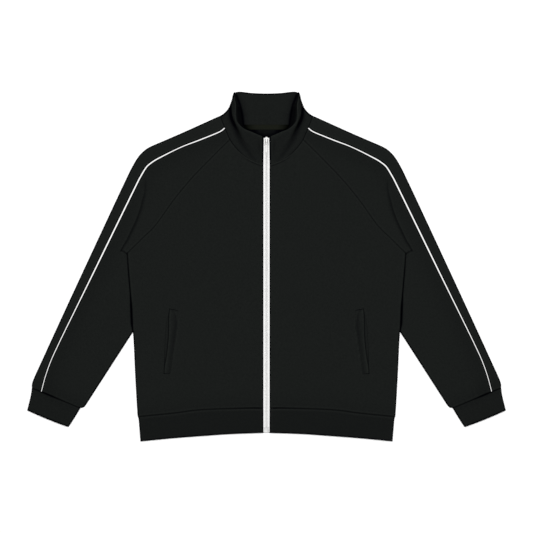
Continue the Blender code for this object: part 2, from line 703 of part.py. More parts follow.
def tape_top(height):
    """Top of the zip tape on the centre line, just under the fronts and the collar."""
    neck = NECK_FRONT[-1][1]
    seat = lay_height((0.0, min(height, neck))) - CLOTH - SEAM_GAP
    if height <= neck:
        return seat
    rim = COLLAR_FRONT[-1]
    top = rim.rim_z - COLLAR_CLOTH / 2 - SEAM_GAP
    return between(seat, top, (height - neck) / (rim.rim[1] - neck))


def zip_stations(top, foot):
    """Heights along the zip at which its strips have a row of points."""
    return [top, *[turn for turn in ZIP_TURNS if foot < turn < top], foot]


def zip_tape():
    """One woven tape, from beside the teeth to under the front's edge."""
    rows = [[Vector((TAPE_OUTER, height, tape_top(height))),
             Vector((TAPE_INNER, height, tape_top(height)))]
            for height in zip_stations(ZIP_TOP, ZIP_FOOT)]
    under = [[spot - Vector((0.0, 0.0, TAPE_CLOTH)) for spot in line] for line in rows]
    return wall_mesh("zip_tape", rows, under)


def zip_chain():
    """Closed row of teeth on the tapes, below the slider."""
    box_top = ZIP_FOOT + BOX_SIZE[1]
    rings = []
    for height in zip_stations(CHAIN_TOP, box_top + SEAM_GAP):
        foot = tape_top(height) + SEAM_GAP
        rings.append([Vector((-CHAIN_HALF, height, foot)), Vector((CHAIN_HALF, height, foot)),
                      Vector((CHAIN_HALF, height, foot + CHAIN_SHOULDER * CHAIN_HEIGHT)),
                      Vector((0.5 * CHAIN_HALF, height, foot + CHAIN_HEIGHT)),
                      Vector((-0.5 * CHAIN_HALF, height, foot + CHAIN_HEIGHT)),
                      Vector((-CHAIN_HALF, height, foot + CHAIN_SHOULDER * CHAIN_HEIGHT))])
    return tube_mesh("zip_chain", rings)


def block(size, centre, bevel):
    """A box with its edges rounded, as a mesh in metres."""
    mesh = bmesh.new()
    bmesh.ops.create_cube(mesh, size=1.0)
    bmesh.ops.scale(mesh, vec=Vector(size) * MM, verts=mesh.verts)
    bmesh.ops.bevel(mesh, geom=mesh.edges[:], offset=bevel * MM, segments=2, affect="EDGES",
                    profile=0.5)
    bmesh.ops.translate(mesh, vec=Vector(centre) * MM, verts=mesh.verts)
    return mesh


def cross_cylinder(radius, length, centre, sides):
    """A cylinder along X, as a mesh in metres."""
    mesh = bmesh.new()
    bmesh.ops.create_cone(mesh, cap_ends=True, segments=sides, radius1=radius * MM,
                          radius2=radius * MM, depth=length * MM)
    bmesh.ops.rotate(mesh, matrix=Matrix.Rotation(math.pi / 2, 3, "Y"), verts=mesh.verts)
    bmesh.ops.translate(mesh, vec=Vector(centre) * MM, verts=mesh.verts)
    return mesh


def joined(name, parts, finish, parent, cutters=(), origin=None):
    """Union of several meshes, less the cutters, as one node."""
    node = place(finished(parts[0], name), finish, parent)
    tools = [(part, "UNION") for part in parts[1:]] + [(part, "DIFFERENCE") for part in cutters]
    for number, (part, operation) in enumerate(tools):
        data = finished(part, f"{name}_tool_{number}")
        tool = bpy.data.objects.new(data.name, data)
        tool.hide_render = True
        tool.display_type = "WIRE"
        bpy.context.scene.collection.objects.link(tool)
        boolean = node.modifiers.new(operation.title(), "BOOLEAN")
        boolean.operation = operation
        boolean.object = tool
        boolean.solver = "EXACT"
    if origin is not None:
        node.data.transform(Matrix.Translation(-origin * MM))
        node.location = origin * MM
    return node


def slider_seat():
    """Underside of the slider, just over the tape at the slider's upper end."""
    return tape_top(SLIDER_Y + SLIDER_SIZE[1] / 2) + SEAM_GAP


def pin_centre():
    return Vector((0.0, PIN_Y, slider_seat() + SLIDER_SIZE[2] + PIN_OVER_PLATE))


def zip_slider(parent):
    """Slider plate with two lugs and the pin that the pull hangs on."""
    seat = slider_seat()
    thick = SLIDER_SIZE[2]
    plate = block(SLIDER_SIZE, (0.0, SLIDER_Y, seat + thick / 2), SLIDER_ROUND)
    lug_x = PULL_WIDTH / 2 + SEAM_GAP + LUG_SIZE[0] / 2
    lug_z = seat + thick - LUG_SUNK + LUG_SIZE[2] / 2
    lugs = [block(LUG_SIZE, (side * lug_x, PIN_Y, lug_z), LUG_ROUND) for side in (-1, 1)]
    pin = cross_cylinder(PIN_RADIUS, 2 * lug_x, pin_centre(), 12)
    joined("zip_slider", [plate, *lugs, pin], WHITE_NYLON, parent)


def zip_pull(parent):
    """Pull tab with its eye round the slider's pin, sloping down to the teeth."""
    pin = pin_centre()
    eye = cross_cylinder(PULL_EYE, PULL_WIDTH, pin, 16)
    tab_centre = pin - Vector((0.0, PULL_LENGTH / 2 + PULL_EYE * 0.5, 0.0))
    tab = block((PULL_WIDTH, PULL_LENGTH, PULL_THICK), tab_centre, PULL_ROUND)
    slope = Matrix.Rotation(math.radians(PULL_SLOPE), 3, "X")
    bmesh.ops.rotate(tab, cent=pin * MM, matrix=slope, verts=tab.verts)
    hole = cross_cylinder(PIN_RADIUS + SEAM_GAP, PULL_WIDTH + 2.0, pin, 16)
    joined("zip_pull", [eye, tab], WHITE_NYLON, parent, cutters=[hole], origin=pin)


def zip_box(parent):
    """Bottom box that holds the two tapes together."""
    seat = tape_top(ZIP_FOOT) + SEAM_GAP
    centre = (0.0, ZIP_FOOT + BOX_SIZE[1] / 2, seat + BOX_SIZE[2] / 2)
    place(finished(block(BOX_SIZE, centre, BOX_ROUND), "zip_box"), WHITE_NYLON, parent)


# ==== build =================================================================================

for thing in list(bpy.data.objects):
    bpy.data.objects.remove(thing, do_unlink=True)

jacket = bpy.data.objects.new("jacket", None)
bpy.context.scene.collection.objects.link(jacket)

place(back_panel(), BLACK_JERSEY, jacket)
place_pair("front_panel", front_panel(), BLACK_JERSEY, jacket)
place_pair("sleeve_front", sleeve_front(), BLACK_JERSEY, jacket)
place_pair("sleeve_back", sleeve_back(), BLACK_JERSEY, jacket)
place_pair("piping", piping(), WHITE_CORD, jacket)
place_pair("cuff", cuff(), BLACK_JERSEY, jacket)
place(hem_band(), BLACK_JERSEY, jacket)
place(collar(), BLACK_JERSEY, jacket)
place(neck_tape(), BLACK_TAPE, jacket)
place_pair("pocket_welt", pocket_welt(), BLACK_JERSEY, jacket)
place_pair("zip_tape", zip_tape(), WHITE_TAPE, jacket)
place(zip_chain(), WHITE_NYLON, jacket)
zip_slider(jacket)
zip_pull(jacket)
zip_box(jacket)
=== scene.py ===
import math

import bpy
import numpy as np
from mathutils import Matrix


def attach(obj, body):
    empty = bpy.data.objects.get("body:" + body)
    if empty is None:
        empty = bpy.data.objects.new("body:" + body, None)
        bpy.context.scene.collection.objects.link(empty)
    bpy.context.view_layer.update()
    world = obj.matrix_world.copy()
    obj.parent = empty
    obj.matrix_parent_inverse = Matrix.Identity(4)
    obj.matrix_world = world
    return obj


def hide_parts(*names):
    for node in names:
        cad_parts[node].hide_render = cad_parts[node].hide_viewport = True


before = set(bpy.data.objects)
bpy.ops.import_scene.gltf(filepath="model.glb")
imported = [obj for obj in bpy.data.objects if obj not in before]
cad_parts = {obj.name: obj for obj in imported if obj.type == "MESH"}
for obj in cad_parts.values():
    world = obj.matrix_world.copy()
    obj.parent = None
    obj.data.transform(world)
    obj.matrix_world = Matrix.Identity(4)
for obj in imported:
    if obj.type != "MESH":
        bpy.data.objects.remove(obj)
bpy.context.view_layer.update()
bpy.ops.object.select_all(action="DESELECT")


# ==== Board, light and camera ====================================================================
# The jacket lies on a pale board under one wide soft light and an even white sky. The camera looks
# straight down at it from almost three metres, so the outline is hardly drawn in perspective.

MM = 0.001
VIEW_WIDTH = 1146.0           # stretch of board that the camera takes in, mm
VIEW_MIDDLE = -1.1            # height of its middle up the jacket
VIEW_PLANE = 5.0              # height over the board at which that width holds
LENS, SENSOR = 85.0, 36.0
BOARD_WIDTH = 9000.0
BOARD_BELOW = 0.05            # of its top under the jacket
BOARD_COLOUR = (0.92, 0.92, 0.92, 1.0)
SKY_STRENGTH = 0.16
LAMP_PLACE = (0.0, 350.0, 3600.0)
LAMP_WIDTH = 2600.0
LAMP_POWER = 165.0

bpy.ops.mesh.primitive_plane_add(size=BOARD_WIDTH * MM, location=(0.0, 0.0, -BOARD_BELOW * MM))
board = bpy.context.object
board.name = "board"
bpy.ops.object.transform_apply(location=True, rotation=True, scale=True)
board.data.materials.append(bpy.data.materials.new("board"))
board.data.materials[0].use_nodes = True
board_surface = board.data.materials[0].node_tree.nodes["Principled BSDF"]
board_surface.inputs["Base Color"].default_value = BOARD_COLOUR
board_surface.inputs["Roughness"].default_value = 0.9
board_surface.inputs["Specular IOR Level"].default_value = 0.1

sky = bpy.data.worlds.new("sky")
sky.use_nodes = True
sky.node_tree.nodes["Background"].inputs["Color"].default_value = (1.0, 1.0, 1.0, 1.0)
sky.node_tree.nodes["Background"].inputs["Strength"].default_value = SKY_STRENGTH
bpy.context.scene.world = sky

bpy.ops.object.light_add(type="AREA", location=np.array(LAMP_PLACE) * MM)
lamp = bpy.context.object
lamp.data.shape = "DISK"
lamp.data.size = LAMP_WIDTH * MM
lamp.data.energy = LAMP_POWER
lamp.rotation_euler = (-math.atan2(LAMP_PLACE[1], LAMP_PLACE[2]), 0.0, 0.0)

bpy.ops.object.camera_add(rotation=(0.0, 0.0, 0.0))
camera = bpy.context.object
camera.location = (0.0, VIEW_MIDDLE * MM, (VIEW_WIDTH * LENS / SENSOR + VIEW_PLANE) * MM)
camera.data.lens = LENS
camera.data.sensor_width = SENSOR
bpy.context.scene.camera = camera
bpy.context.scene.view_settings.view_transform = "Standard"


# ==== Fronts =====================================================================================
# Each front is one piece of heavy black knit, from the zip to the side seam, cut away along the
# neck and the raglan seam. Its skin is drawn point by point between those seams, then thickened.

CLOTH = 1.6                   # thickness of the body and sleeve knit
PLY_ROOM = 3.0                # slack between the upper and the lower ply
FOLD_DEPTH = 4.5              # width over which a ply turns down to its fold
SEAM_GAP = 0.1                # between two sewn pieces
SIDE_GAP = 0.08               # between the body's side and the sleeve beside it
CAD_GAP = 0.3                 # between the solids that these pieces stand for
NECK_CENTRE = (0.0, 297.0)
NECK_RISE = 2.0               # the cloth lies this much higher on the neck seam
NECK_FULL, NECK_END = 90.0, 215.0
EDGE_STEPS = np.array([0.0, 0.15, 0.6, 1.3, 2.2, 3.2, 4.5])   # of the points beside an edge
SEWN_STEPS = np.array([*EDGE_STEPS[:-2], 3.0, 3.8, 4.6, 5.5, 6.6])     # beside a sewn border
PITCH = 3.6                   # of the points between
HANDS = (("left", 1.0), ("right", -1.0))       # the wearer's, and the sign of x there

# Plan outline of the half with x > 0, from the wearer's left sleeve to the zip.
ZIP_EDGE = 6.7
NECK_FRONT = [(99.5, 322.8), (95.0, 310.5), (89.5, 296.5), (84.0, 284.5), (78.5, 272.0),
              (68.5, 257.6), (57.0, 245.2), (43.5, 234.0), (27.5, 225.4), (ZIP_EDGE, 217.4)]
PIPING_START, RAGLAN_START = 2, 4      # points of the neck where those seams begin
UNDERARM = (299.5, 27.5)
RAGLAN = [NECK_FRONT[RAGLAN_START], (117.0, 234.0), (161.5, 188.0), (199.5, 142.0),
          (238.5, 88.0), (265.5, 61.0), UNDERARM]
SIDE_UPPER = [UNDERARM, (297.0, -8.0), (292.3, -63.0), (289.8, -116.0), (287.2, -142.0)]
SIDE_LOWER = [SIDE_UPPER[-1], (285.4, -170.0), (282.6, -232.0), (278.2, -310.0), (277.0, -324.0)]
HEM_SEAM = [(ZIP_EDGE, -306.0), (39.0, -305.5), (139.5, -309.0), (201.5, -316.5), SIDE_LOWER[-1]]
POCKET_INNER = [(198.0, -94.0), (192.3, -125.5), (197.6, -166.5), (204.0, -210.5), (207.5, -232.5)]

# Rows of points are counted in spans: 0 at the neck, then these, and each height on the zip edge.
ROW_UNDERARM, ROW_SIDE, ROW_HEM = 9.0, 13.0, 18.0
FRONT_HEIGHTS = (NECK_FRONT[-1][1], 30.0, -135.0, -306.0)
BODY_SPANS = (26.0, 34.0)     # length of a span at the neck and at the hem


def rounded(corners, steps):
    """Points of a smooth curve through the corners, with this many steps to each stretch."""
    corners = np.asarray(corners, float)
    ends = np.concatenate([2 * corners[:1] - corners[1:2], corners,
                           2 * corners[-1:] - corners[-2:-1]])
    share = (np.arange(steps) / steps).reshape((steps,) + (1,) * (corners.ndim - 1))
    curve = []
    for before, start, finish, after in zip(ends, ends[1:], ends[2:], ends[3:]):
        curve.append(0.5 * (2 * start + (finish - before) * share
                            + (2 * before - 5 * start + 4 * finish - after) * share ** 2
                            + (3 * start - before - 3 * finish + after) * share ** 3))
    return np.concatenate([*curve, corners[-1:]])


class Line:
    """A line in plan, read by the share of its length."""

    STEPS = 10

    def __init__(self, corners, smooth=True):
        self.points = rounded(corners, self.STEPS) if smooth else np.asarray(corners, float)
        steps = np.linalg.norm(np.diff(self.points, axis=0), axis=1)
        self.reach = np.concatenate([[0.0], np.cumsum(steps)])
        self.length = self.reach[-1]

    def at(self, shares):
        wanted = np.asarray(shares, float) * self.length
        return np.stack([np.interp(wanted, self.reach, axis) for axis in self.points.T], axis=-1)

    def part(self, first, last):
        """The stretch between two of its corners, in that order."""
        low, high = sorted((first * self.STEPS, last * self.STEPS))
        points = self.points[low:high + 1]
        return Line(points if first < last else points[::-1], smooth=False)

    def nearest(self, spots):
        """For each spot: its distance, the side it lies on and the share of length beside it."""
        best = np.full(spots.shape[:-1], np.inf)
        side, share = np.ones_like(best), np.zeros_like(best)
        for index, (start, finish) in enumerate(zip(self.points, self.points[1:])):
            along = finish - start
            reach = np.clip((spots - start) @ along / (along @ along), 0.0, 1.0)
            away = spots - start - reach[..., None] * along
            distance = np.hypot(away[..., 0], away[..., 1])
            nearer = distance < best
            best = np.where(nearer, distance, best)
            side = np.where(nearer, np.sign(along[0] * away[..., 1] - along[1] * away[..., 0]), side)
            place = self.reach[index] + reach * (self.reach[index + 1] - self.reach[index])
            share = np.where(nearer, place / self.length, share)
        return best, side, share

    def distance(self, spots):
        return self.nearest(spots)[0]


def mirrored(corners):
    return [(-x, y) for x, y in corners]


def smooth_step(share):
    share = np.clip(share, 0.0, 1.0)
    return share * share * (3.0 - 2.0 * share)


def hump(distance, width):
    return np.exp(-(distance / width) ** 2)


def stretches(rows, *lines):
    """Points of a border made of lines joined end to end, each between two row counts."""
    points = np.empty((len(rows), 2))
    for line, start, finish in lines:
        inside = (rows >= start) & (rows <= finish)
        points[inside] = line.at((rows[inside] - start) / (finish - start))
    return points


def row_counts(last, first_pitch, last_pitch, pitch=PITCH):
    """Row counts down a piece whose rows lie these many millimetres apart at its two ends."""
    start = (SEWN_STEPS + SEAM_GAP / 2) / first_pitch
    finish = last - (SEWN_STEPS[::-1] + SEAM_GAP / 2) / last_pitch
    number = round((first_pitch + last_pitch) / 2 * last / pitch)
    return np.concatenate([start[:-1], np.linspace(start[-1], finish[0], number), finish[1:]])


def body_rows(pitch=PITCH):
    """Row counts down the body, their heights on the zip edge and their shares of the way down."""
    rows = row_counts(ROW_HEM, *BODY_SPANS, pitch)
    heights = np.interp(rows, (0.0, ROW_UNDERARM, ROW_SIDE, ROW_HEM), FRONT_HEIGHTS)
    return rows, heights, (FRONT_HEIGHTS[0] - heights) / (FRONT_HEIGHTS[0] - FRONT_HEIGHTS[-1])


def side_border(rows, raglan, below, last):
    """The border down a raglan seam, the side and the line below it, and the gap to leave on it."""
    border = stretches(rows, (raglan, 0.0, ROW_UNDERARM), (side_upper, ROW_UNDERARM, ROW_SIDE),
                       (below, ROW_SIDE, last))
    gap = np.interp(rows, (ROW_UNDERARM - 0.1, ROW_UNDERARM + 0.1, ROW_SIDE, ROW_SIDE + 0.3),
                    (SEAM_GAP / 2, SIDE_GAP / 2, SIDE_GAP / 2, 0.0))
    return border, gap


def square_gap(border, other, gap):
    """Gap to leave along the rows so that it is this wide square to the border."""
    along = np.gradient(border, axis=0)
    row = other - border
    cross = along[:, 0] * row[:, 1] - along[:, 1] * row[:, 0]
    slant = np.abs(cross) / np.linalg.norm(along, axis=1) / np.linalg.norm(row, axis=1)
    return gap / np.maximum(slant, 0.4)


def row_shares(first, last, first_gap, last_gap, pitch=PITCH):
    """Shares across every row between two borders, in set steps beside each."""
    widths = np.linalg.norm(last - first, axis=1)
    start = (square_gap(first, last, first_gap)[:, None] + SEWN_STEPS) / widths[:, None]
    finish = (square_gap(last, first, last_gap)[:, None] + SEWN_STEPS[::-1]) / widths[:, None]
    even = np.linspace(0.0, 1.0, round(widths.max() / pitch))[1:-1]
    middle = start[:, -1:] + (1.0 - finish[:, :1] - start[:, -1:]) * even
    return np.concatenate([start, middle, 1.0 - finish], axis=1)


def patch(top, bottom, first, last, over, down):
    """Plan points between four borders; over and down are each point's shares."""
    down = down[:, None, None]
    ruled = top.at(over) * (1.0 - down) + bottom.at(over) * down
    over = over[..., None]
    crossed = first[:, None] * (1.0 - over) + last[:, None] * over
    corners = ((top.at(0.0) * (1.0 - over) + top.at(1.0) * over) * (1.0 - down)
               + (bottom.at(0.0) * (1.0 - over) + bottom.at(1.0) * over) * down)
    return ruled + crossed - corners


def lay_height(spots, cloth=CLOTH):
    """Top of the upper ply, away from its folds."""
    away = np.hypot(spots[..., 0] - NECK_CENTRE[0], spots[..., 1] - NECK_CENTRE[1])
    return CLOTH + PLY_ROOM + cloth + NECK_RISE * smooth_step((NECK_END - away)
                                                              / (NECK_END - NECK_FULL))


def fold_share(spots, folds):
    distance = np.min([fold.distance(spots) for fold in folds], axis=0)
    return np.sqrt(1.0 - (1.0 - np.minimum(distance / FOLD_DEPTH, 1.0)) ** 2)


def upper(spots, folds, relief, cloth=CLOTH, gap=0.0):
    """The upper ply over these spots, turned down to the middle of each fold."""
    share = fold_share(spots, folds)
    height = lay_height(spots, cloth) * (0.5 + 0.5 * share) + 0.5 * gap * (1.0 - share)
    return np.concatenate([spots, (height + relief * share)[..., None]], axis=-1)


def lower(spots, folds, relief, cloth=CLOTH, gap=0.0):
    """The lower ply on the board, turned up to the middle of each fold."""
    share = fold_share(spots, folds)
    height = (0.5 * lay_height(spots, cloth) - 0.5 * gap) * (1.0 - share)
    return np.concatenate([spots, (height + relief * share)[..., None]], axis=-1)


LIP_IN, LIP_WIDTH = 3.4, 1.9  # place and width of the ridge beside a seam


def seam(distance, depth, width=1.6, lip=0.25):
    """Relief beside a seam: a valley on the seam and a soft ridge next to it."""
    return lip * hump(distance - LIP_IN, LIP_WIDTH) - depth * hump(distance, width)


def pressed(spots, crease):
    """Depth to which a crease presses in the cloth at these spots. It runs from row to row, and
    each row holds x, y, its depth there and its width to the left and to the right."""
    table = np.array(crease)
    line = Line(table[:, :2])
    distance, side, share = line.nearest(spots)
    marks = line.reach[::Line.STEPS] / line.length
    depth, left, right = (np.interp(share, marks, column) for column in table[:, 2:].T)
    return depth * hump(distance, np.where(side > 0.0, left, right))


# The slack of the cloth is long low waves that cross: height, length, turn in degrees and phase.
SLACK = [(0.22, 260.0, 12.0, 0.4), (0.18, 171.0, 71.0, 2.2), (0.13, 118.0, -35.0, 4.6),
         (0.09, 77.0, 118.0, 1.1), (0.06, 49.0, -64.0, 3.3)]


def slack(spots, side=1.0):
    total = np.zeros(spots.shape[:-1])
    for height, length, degrees, phase in SLACK:
        turn = math.radians(degrees)
        place = spots[..., 0] * side * math.cos(turn) + spots[..., 1] * math.sin(turn)
        total += height * np.sin(2.0 * math.pi * place / length + phase)
    return total


def facing(skin, up, column=None, row=None):
    """The skin with its columns in the order that turns its face up, or down, at this point of it;
    that is its middle where none is given."""
    row, column = row or skin.shape[0] // 2, column or skin.shape[1] // 2
    across = skin[row, column + 1] - skin[row, column - 1]
    along = skin[row + 1, column] - skin[row - 1, column]
    is_up = across[0] * along[1] - across[1] * along[0] > 0.0
    return skin if is_up == up else skin[:, ::-1]


def cloth_lines(skin, plan):
    """Where each point lies on the flat cut piece, across and along the knit, in metres."""
    if plan:
        return skin[..., :2] * MM
    lines = []
    for axis in (1, 0):
        steps = np.linalg.norm(np.diff(skin, axis=axis), axis=-1)
        start = np.zeros_like(steps[:, :1] if axis else steps[:1])
        lines.append(np.cumsum(np.concatenate([start, steps], axis=axis), axis=axis))
    return np.stack(lines, axis=-1) * MM


def finish_piece(piece, *modifiers):
    """Apply the piece's modifiers in order and shade it smooth."""
    for modifier in modifiers:
        bpy.ops.object.modifier_apply(modifier=modifier.name)
    bpy.ops.object.shade_smooth()
    piece.select_set(False)
    return piece


def square_to(skin):
    """Unit directions square to a skin, on its outer side."""
    square = np.cross(np.gradient(skin, axis=1), np.gradient(skin, axis=0))
    return square / np.maximum(np.linalg.norm(square, axis=-1, keepdims=True), 1e-9)


# Fibres in a hollow or a seam lie in each other's shade; on a ridge or a folded edge they catch the
# light. How far a point stands off its surroundings sets how much shade and highlight is painted on
# the cloth there.
SHADE_SPREAD = 3.5            # size of those surroundings, mm
SHADE_GAIN = 0.42             # for each millimetre
SHADE_LIMITS = (0.1, 1.55)
DARKEST = 0.03                # light that is left in the deepest shade


def evened(skin, spread):
    """The skin averaged over its surroundings, first along its rows and then along its columns."""
    for _ in range(2):
        steps = np.linalg.norm(np.diff(skin, axis=1), axis=-1)
        reach = np.concatenate([np.zeros_like(steps[:, :1]), np.cumsum(steps, axis=1)], axis=1)
        near = hump(reach[:, :, None] - reach[:, None], spread) * np.gradient(reach, axis=1)[:, None]
        skin = (near @ skin / near.sum(axis=2, keepdims=True)).swapaxes(0, 1)
    return skin


def shade_of(skin):
    away = ((skin - evened(skin, SHADE_SPREAD)) * square_to(skin)).sum(axis=-1)
    return np.clip(1.0 + SHADE_GAIN * away, *SHADE_LIMITS)


def plan_of(skin):
    """Plan spots of a skin's points, brought to the half with x > 0."""
    return np.stack([np.abs(skin[..., 0]), skin[..., 1]], axis=-1)


def dark_line(distance, strength, width):
    """The light left beside a line, from 0 to 1."""
    return np.clip(1.0 - strength * hump(distance, width), DARKEST, 1.0)


def light_line(distance, strength, width):
    """The light gained along a line."""
    return 1.0 + strength * hump(distance, width)


def dark_border(distance, strength, width):
    """The light left beside a border, whose shade holds over this width and then ends."""
    return 1.0 - strength * np.exp(-(distance / width) ** 4)


def light_past(spots, *creases):
    """The light left at these spots by creases whose depths are read as darkness."""
    light = np.ones(spots.shape[:-1])
    for crease in creases:
        light = light * np.clip(1.0 - pressed(spots, crease), DARKEST, 2.0)
    return light


def numbers(items, name):
    """One whole number of each of a mesh's corners or faces."""
    column = np.empty(len(items), np.int32)
    items.foreach_get(name, column)
    return column


def vectors(items, name, width=3):
    """One vector of each of a mesh's points, corners or faces, as rows."""
    table = np.empty(len(items) * width)
    items.foreach_get(name, table)
    return table.reshape(-1, width)


def lit_again(piece, chosen, light):
    """Multiply the shade of the faces whose middle and direction are chosen."""
    mesh = piece.data
    faces = chosen(vectors(mesh.polygons, "center") / MM, vectors(mesh.polygons, "normal"))
    inside = np.repeat(faces, numbers(mesh.polygons, "loop_total"))
    corners = numbers(mesh.loops, "vertex_index")[inside]
    shade = vectors(mesh.uv_layers["shade"].uv, "vector", 2)
    shade[inside] *= light((vectors(mesh.vertices, "co") / MM)[corners])[:, None]
    mesh.uv_layers["shade"].uv.foreach_set("vector", shade.ravel())


MERGE_WITHIN = 0.002          # points this close become one


def grid_piece(name, skin, plan=False, closed=False, shade=None):
    """A grid with one point for each point of the skin; a closed one joins its side borders."""
    rows, columns = skin.shape[:2]
    bpy.ops.mesh.primitive_grid_add(x_subdivisions=columns - 1, y_subdivisions=rows - 1)
    piece = bpy.context.object
    piece.name = name
    piece.data.name = name
    piece.data.vertices.foreach_set("co", (skin * MM).ravel())
    corners = numbers(piece.data.loops, "vertex_index")
    places = cloth_lines(skin, plan).reshape(-1, 2)[corners]
    piece.data.uv_layers[0].uv.foreach_set("vector", places.ravel())
    if shade is not None:
        layer = piece.data.uv_layers.new(name="shade")
        shade = np.repeat(shade.reshape(-1, 1), 2, axis=1)[corners]
        layer.uv.foreach_set("vector", shade.ravel())
    if closed:
        bpy.ops.object.mode_set(mode="EDIT")
        bpy.ops.mesh.select_all(action="SELECT")
        bpy.ops.mesh.remove_doubles(threshold=MERGE_WITHIN * MM)
        bpy.ops.object.mode_set(mode="OBJECT")
    return piece


def cloth_wall(name, skin, thickness, plan=False, closed=False, edge=0.4, dim=1.0):
    """A sheet of cloth: its skin, thickened, with the cut edges rounded; dim is the light and shade
    painted on it.
    """
    piece = grid_piece(name, skin, plan, closed, shade_of(skin) * dim)
    wall = piece.modifiers.new("wall", "SOLIDIFY")
    wall.thickness = thickness * MM
    wall.offset = -1.0
    rim = piece.modifiers.new("rim", "BEVEL")
    rim.width = edge * MM
    rim.segments = 2
    rim.limit_method = "ANGLE"
    rim.angle_limit = math.radians(50.0)
    return finish_piece(piece, wall, rim)


def operation(kind, turned=False):
    """A method that puts its values through a Math node; a turned one puts its own object last."""
    def method(self, *others):
        return self.combined(kind, *((*others, self) if turned else (self, *others)))
    return method


class Signal:
    """A number that varies over a surface; sums on it add Math nodes to its material."""

    def __init__(self, socket):
        self.socket = socket

    def combined(self, kind, *values):
        made = self.socket.id_data.nodes.new("ShaderNodeMath")
        made.operation = kind
        for place, value in zip(made.inputs, values):
            if isinstance(value, Signal):
                self.socket.id_data.links.new(value.socket, place)
            else:
                place.default_value = value
        return Signal(made.outputs[0])

    __add__ = __radd__ = operation("ADD")
    __mul__ = __rmul__ = operation("MULTIPLY")
    __sub__, __rsub__ = operation("SUBTRACT"), operation("SUBTRACT", turned=True)
    __pow__, __rpow__ = operation("POWER"), operation("POWER", turned=True)
    __abs__, sine = operation("ABSOLUTE"), operation("SINE")
    at_most, at_least = operation("MINIMUM"), operation("MAXIMUM")


class Finish:
    """A material of one colour and the nodes that feed it."""

    OBJECT_PLACE = 3                                   # output of the texture coordinates
    MIX_SHARE, MIX_FIRST, MIX_SECOND, MIX_RESULT = 0, 6, 7, 2      # sockets that mix colours

    def __init__(self, name, colour, roughness, specular):
        self.colour = colour
        self.material = bpy.data.materials.new(name)
        self.material.use_nodes = True
        self.tree = self.material.node_tree
        self.surface = self.tree.nodes["Principled BSDF"]
        self.feed(self.surface, {"Base Color": (*colour, 1.0), "Roughness": roughness,
                                 "Specular IOR Level": specular})

    def feed(self, node, values):
        for name, value in values.items():
            if isinstance(value, Signal):
                self.tree.links.new(value.socket, node.inputs[name])
            else:
                node.inputs[name].default_value = value

    def node(self, kind, values=None, output=0, **settings):
        """Add a node: its settings, then its sockets; one of its outputs comes back."""
        made = self.tree.nodes.new("ShaderNode" + kind)
        for setting, value in settings.items():
            setattr(made, setting, value)
        self.feed(made, values or {})
        return Signal(made.outputs[output])

    def millimetres(self, vector):
        """The first two parts of a place that is in metres."""
        split = self.node("SeparateXYZ", {"Vector": vector}).socket.node
        return [Signal(split.outputs[axis]) * (1.0 / MM) for axis in (0, 1)]

    def cloth_place(self):
        """Places across and along the flat piece."""
        return self.millimetres(self.node("UVMap", uv_map="UVMap"))

    def spot(self):
        """Plan place of each point on the piece at rest, the same on both sides of the zip."""
        x, y = self.millimetres(self.node("TexCoord", output=self.OBJECT_PLACE))
        return abs(x), y

    def shade(self):
        return self.node("SeparateXYZ", {"Vector": self.node("UVMap", uv_map="shade")})

    def tint(self, strength, dark=(0, 0, 0)):
        """Its colour, times a strength that varies from 0 to 2; dark is what is left at 0."""
        bright = [2.0 * channel - rest for channel, rest in zip(self.colour, dark)]
        self.feed(self.surface, {"Base Color": self.between(strength * 0.5, dark, bright)})

    def grain(self, size, detail=2.0):
        """Noise from 0 to 1 whose blots are about this many millimetres wide."""
        place = self.node("TexCoord", output=self.OBJECT_PLACE)
        return self.node("TexNoise", {"Vector": place, "Scale": 1.0 / (size * MM),
                                      "Detail": detail})

    def between(self, share, first, second):
        """A colour from first to second, by a varying share."""
        return self.node("Mix", {self.MIX_SHARE: share, self.MIX_FIRST: (*first, 1.0),
                                 self.MIX_SECOND: (*second, 1.0)},
                         output=self.MIX_RESULT, data_type="RGBA")

    def raised(self, height, depth, strength=1.0):
        """Relief of this depth in millimetres on the surface."""
        bump = self.node("Bump", {"Height": height, "Distance": depth * MM,
                                  "Strength": strength})
        self.feed(self.surface, {"Normal": bump})


# Black knit: columns and rows of loops, a short fuzz, a faint mottle of the dye and painted shade.
KNIT_BLACK = (0.0086, 0.0097, 0.0091)
DEEP_SHADE = (0.0005, 0.0004, 0.0012)
WALE, COURSE = 1.2, 0.95      # distance of the columns and of the rows, mm
LOOP_BOW = 2.4                # by which a row bows in each column, radians
MOTTLE, FLECK, FUZZ = 3.4, 1.1, 0.5    # sizes of the blots, mm
KNIT_RELIEF = 0.16


def knit():
    finish = Finish("black_knit", KNIT_BLACK, 0.85, specular=0.0)
    across, along = finish.cloth_place()
    column = abs((across * (math.pi / WALE)).sine())
    loops = (along * (2.0 * math.pi / COURSE) + column * LOOP_BOW).sine()
    cloud = finish.grain(MOTTLE) * 0.6 + finish.grain(FLECK, 1.0) * 0.4 - 0.5
    yarn = column * 0.5 + loops * column * 0.25
    finish.raised(yarn + finish.grain(FUZZ, 3.0) * 0.5, KNIT_RELIEF, 0.7)
    # Painted shade: darker between the loops, and times the shade layer painted on each piece.
    dye_and_shade = cloud + column * 0.12 + loops * 0.05 + 0.95
    finish.tint(dye_and_shade * finish.shade(), DEEP_SHADE)
    return finish.material


black_knit = knit()


def dress(piece, node, material, body="jacket"):
    """Put the finish on a piece that stands for a CAD node, and let it ride where that rides."""
    piece.data.materials.clear()
    piece.data.materials.append(material)
    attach(piece, body)
    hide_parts(node)
    return piece


neck_line = Line(NECK_FRONT)
raglan_line = Line(RAGLAN)
side_upper, side_lower = Line(SIDE_UPPER), Line(SIDE_LOWER)
hem_seam = Line(HEM_SEAM)
pocket_valley = [(x, y, depth, 2.2, 1.1) for (x, y), depth
                 in zip(POCKET_INNER, (0.2, 0.6, 0.7, 0.6, 0.2))]

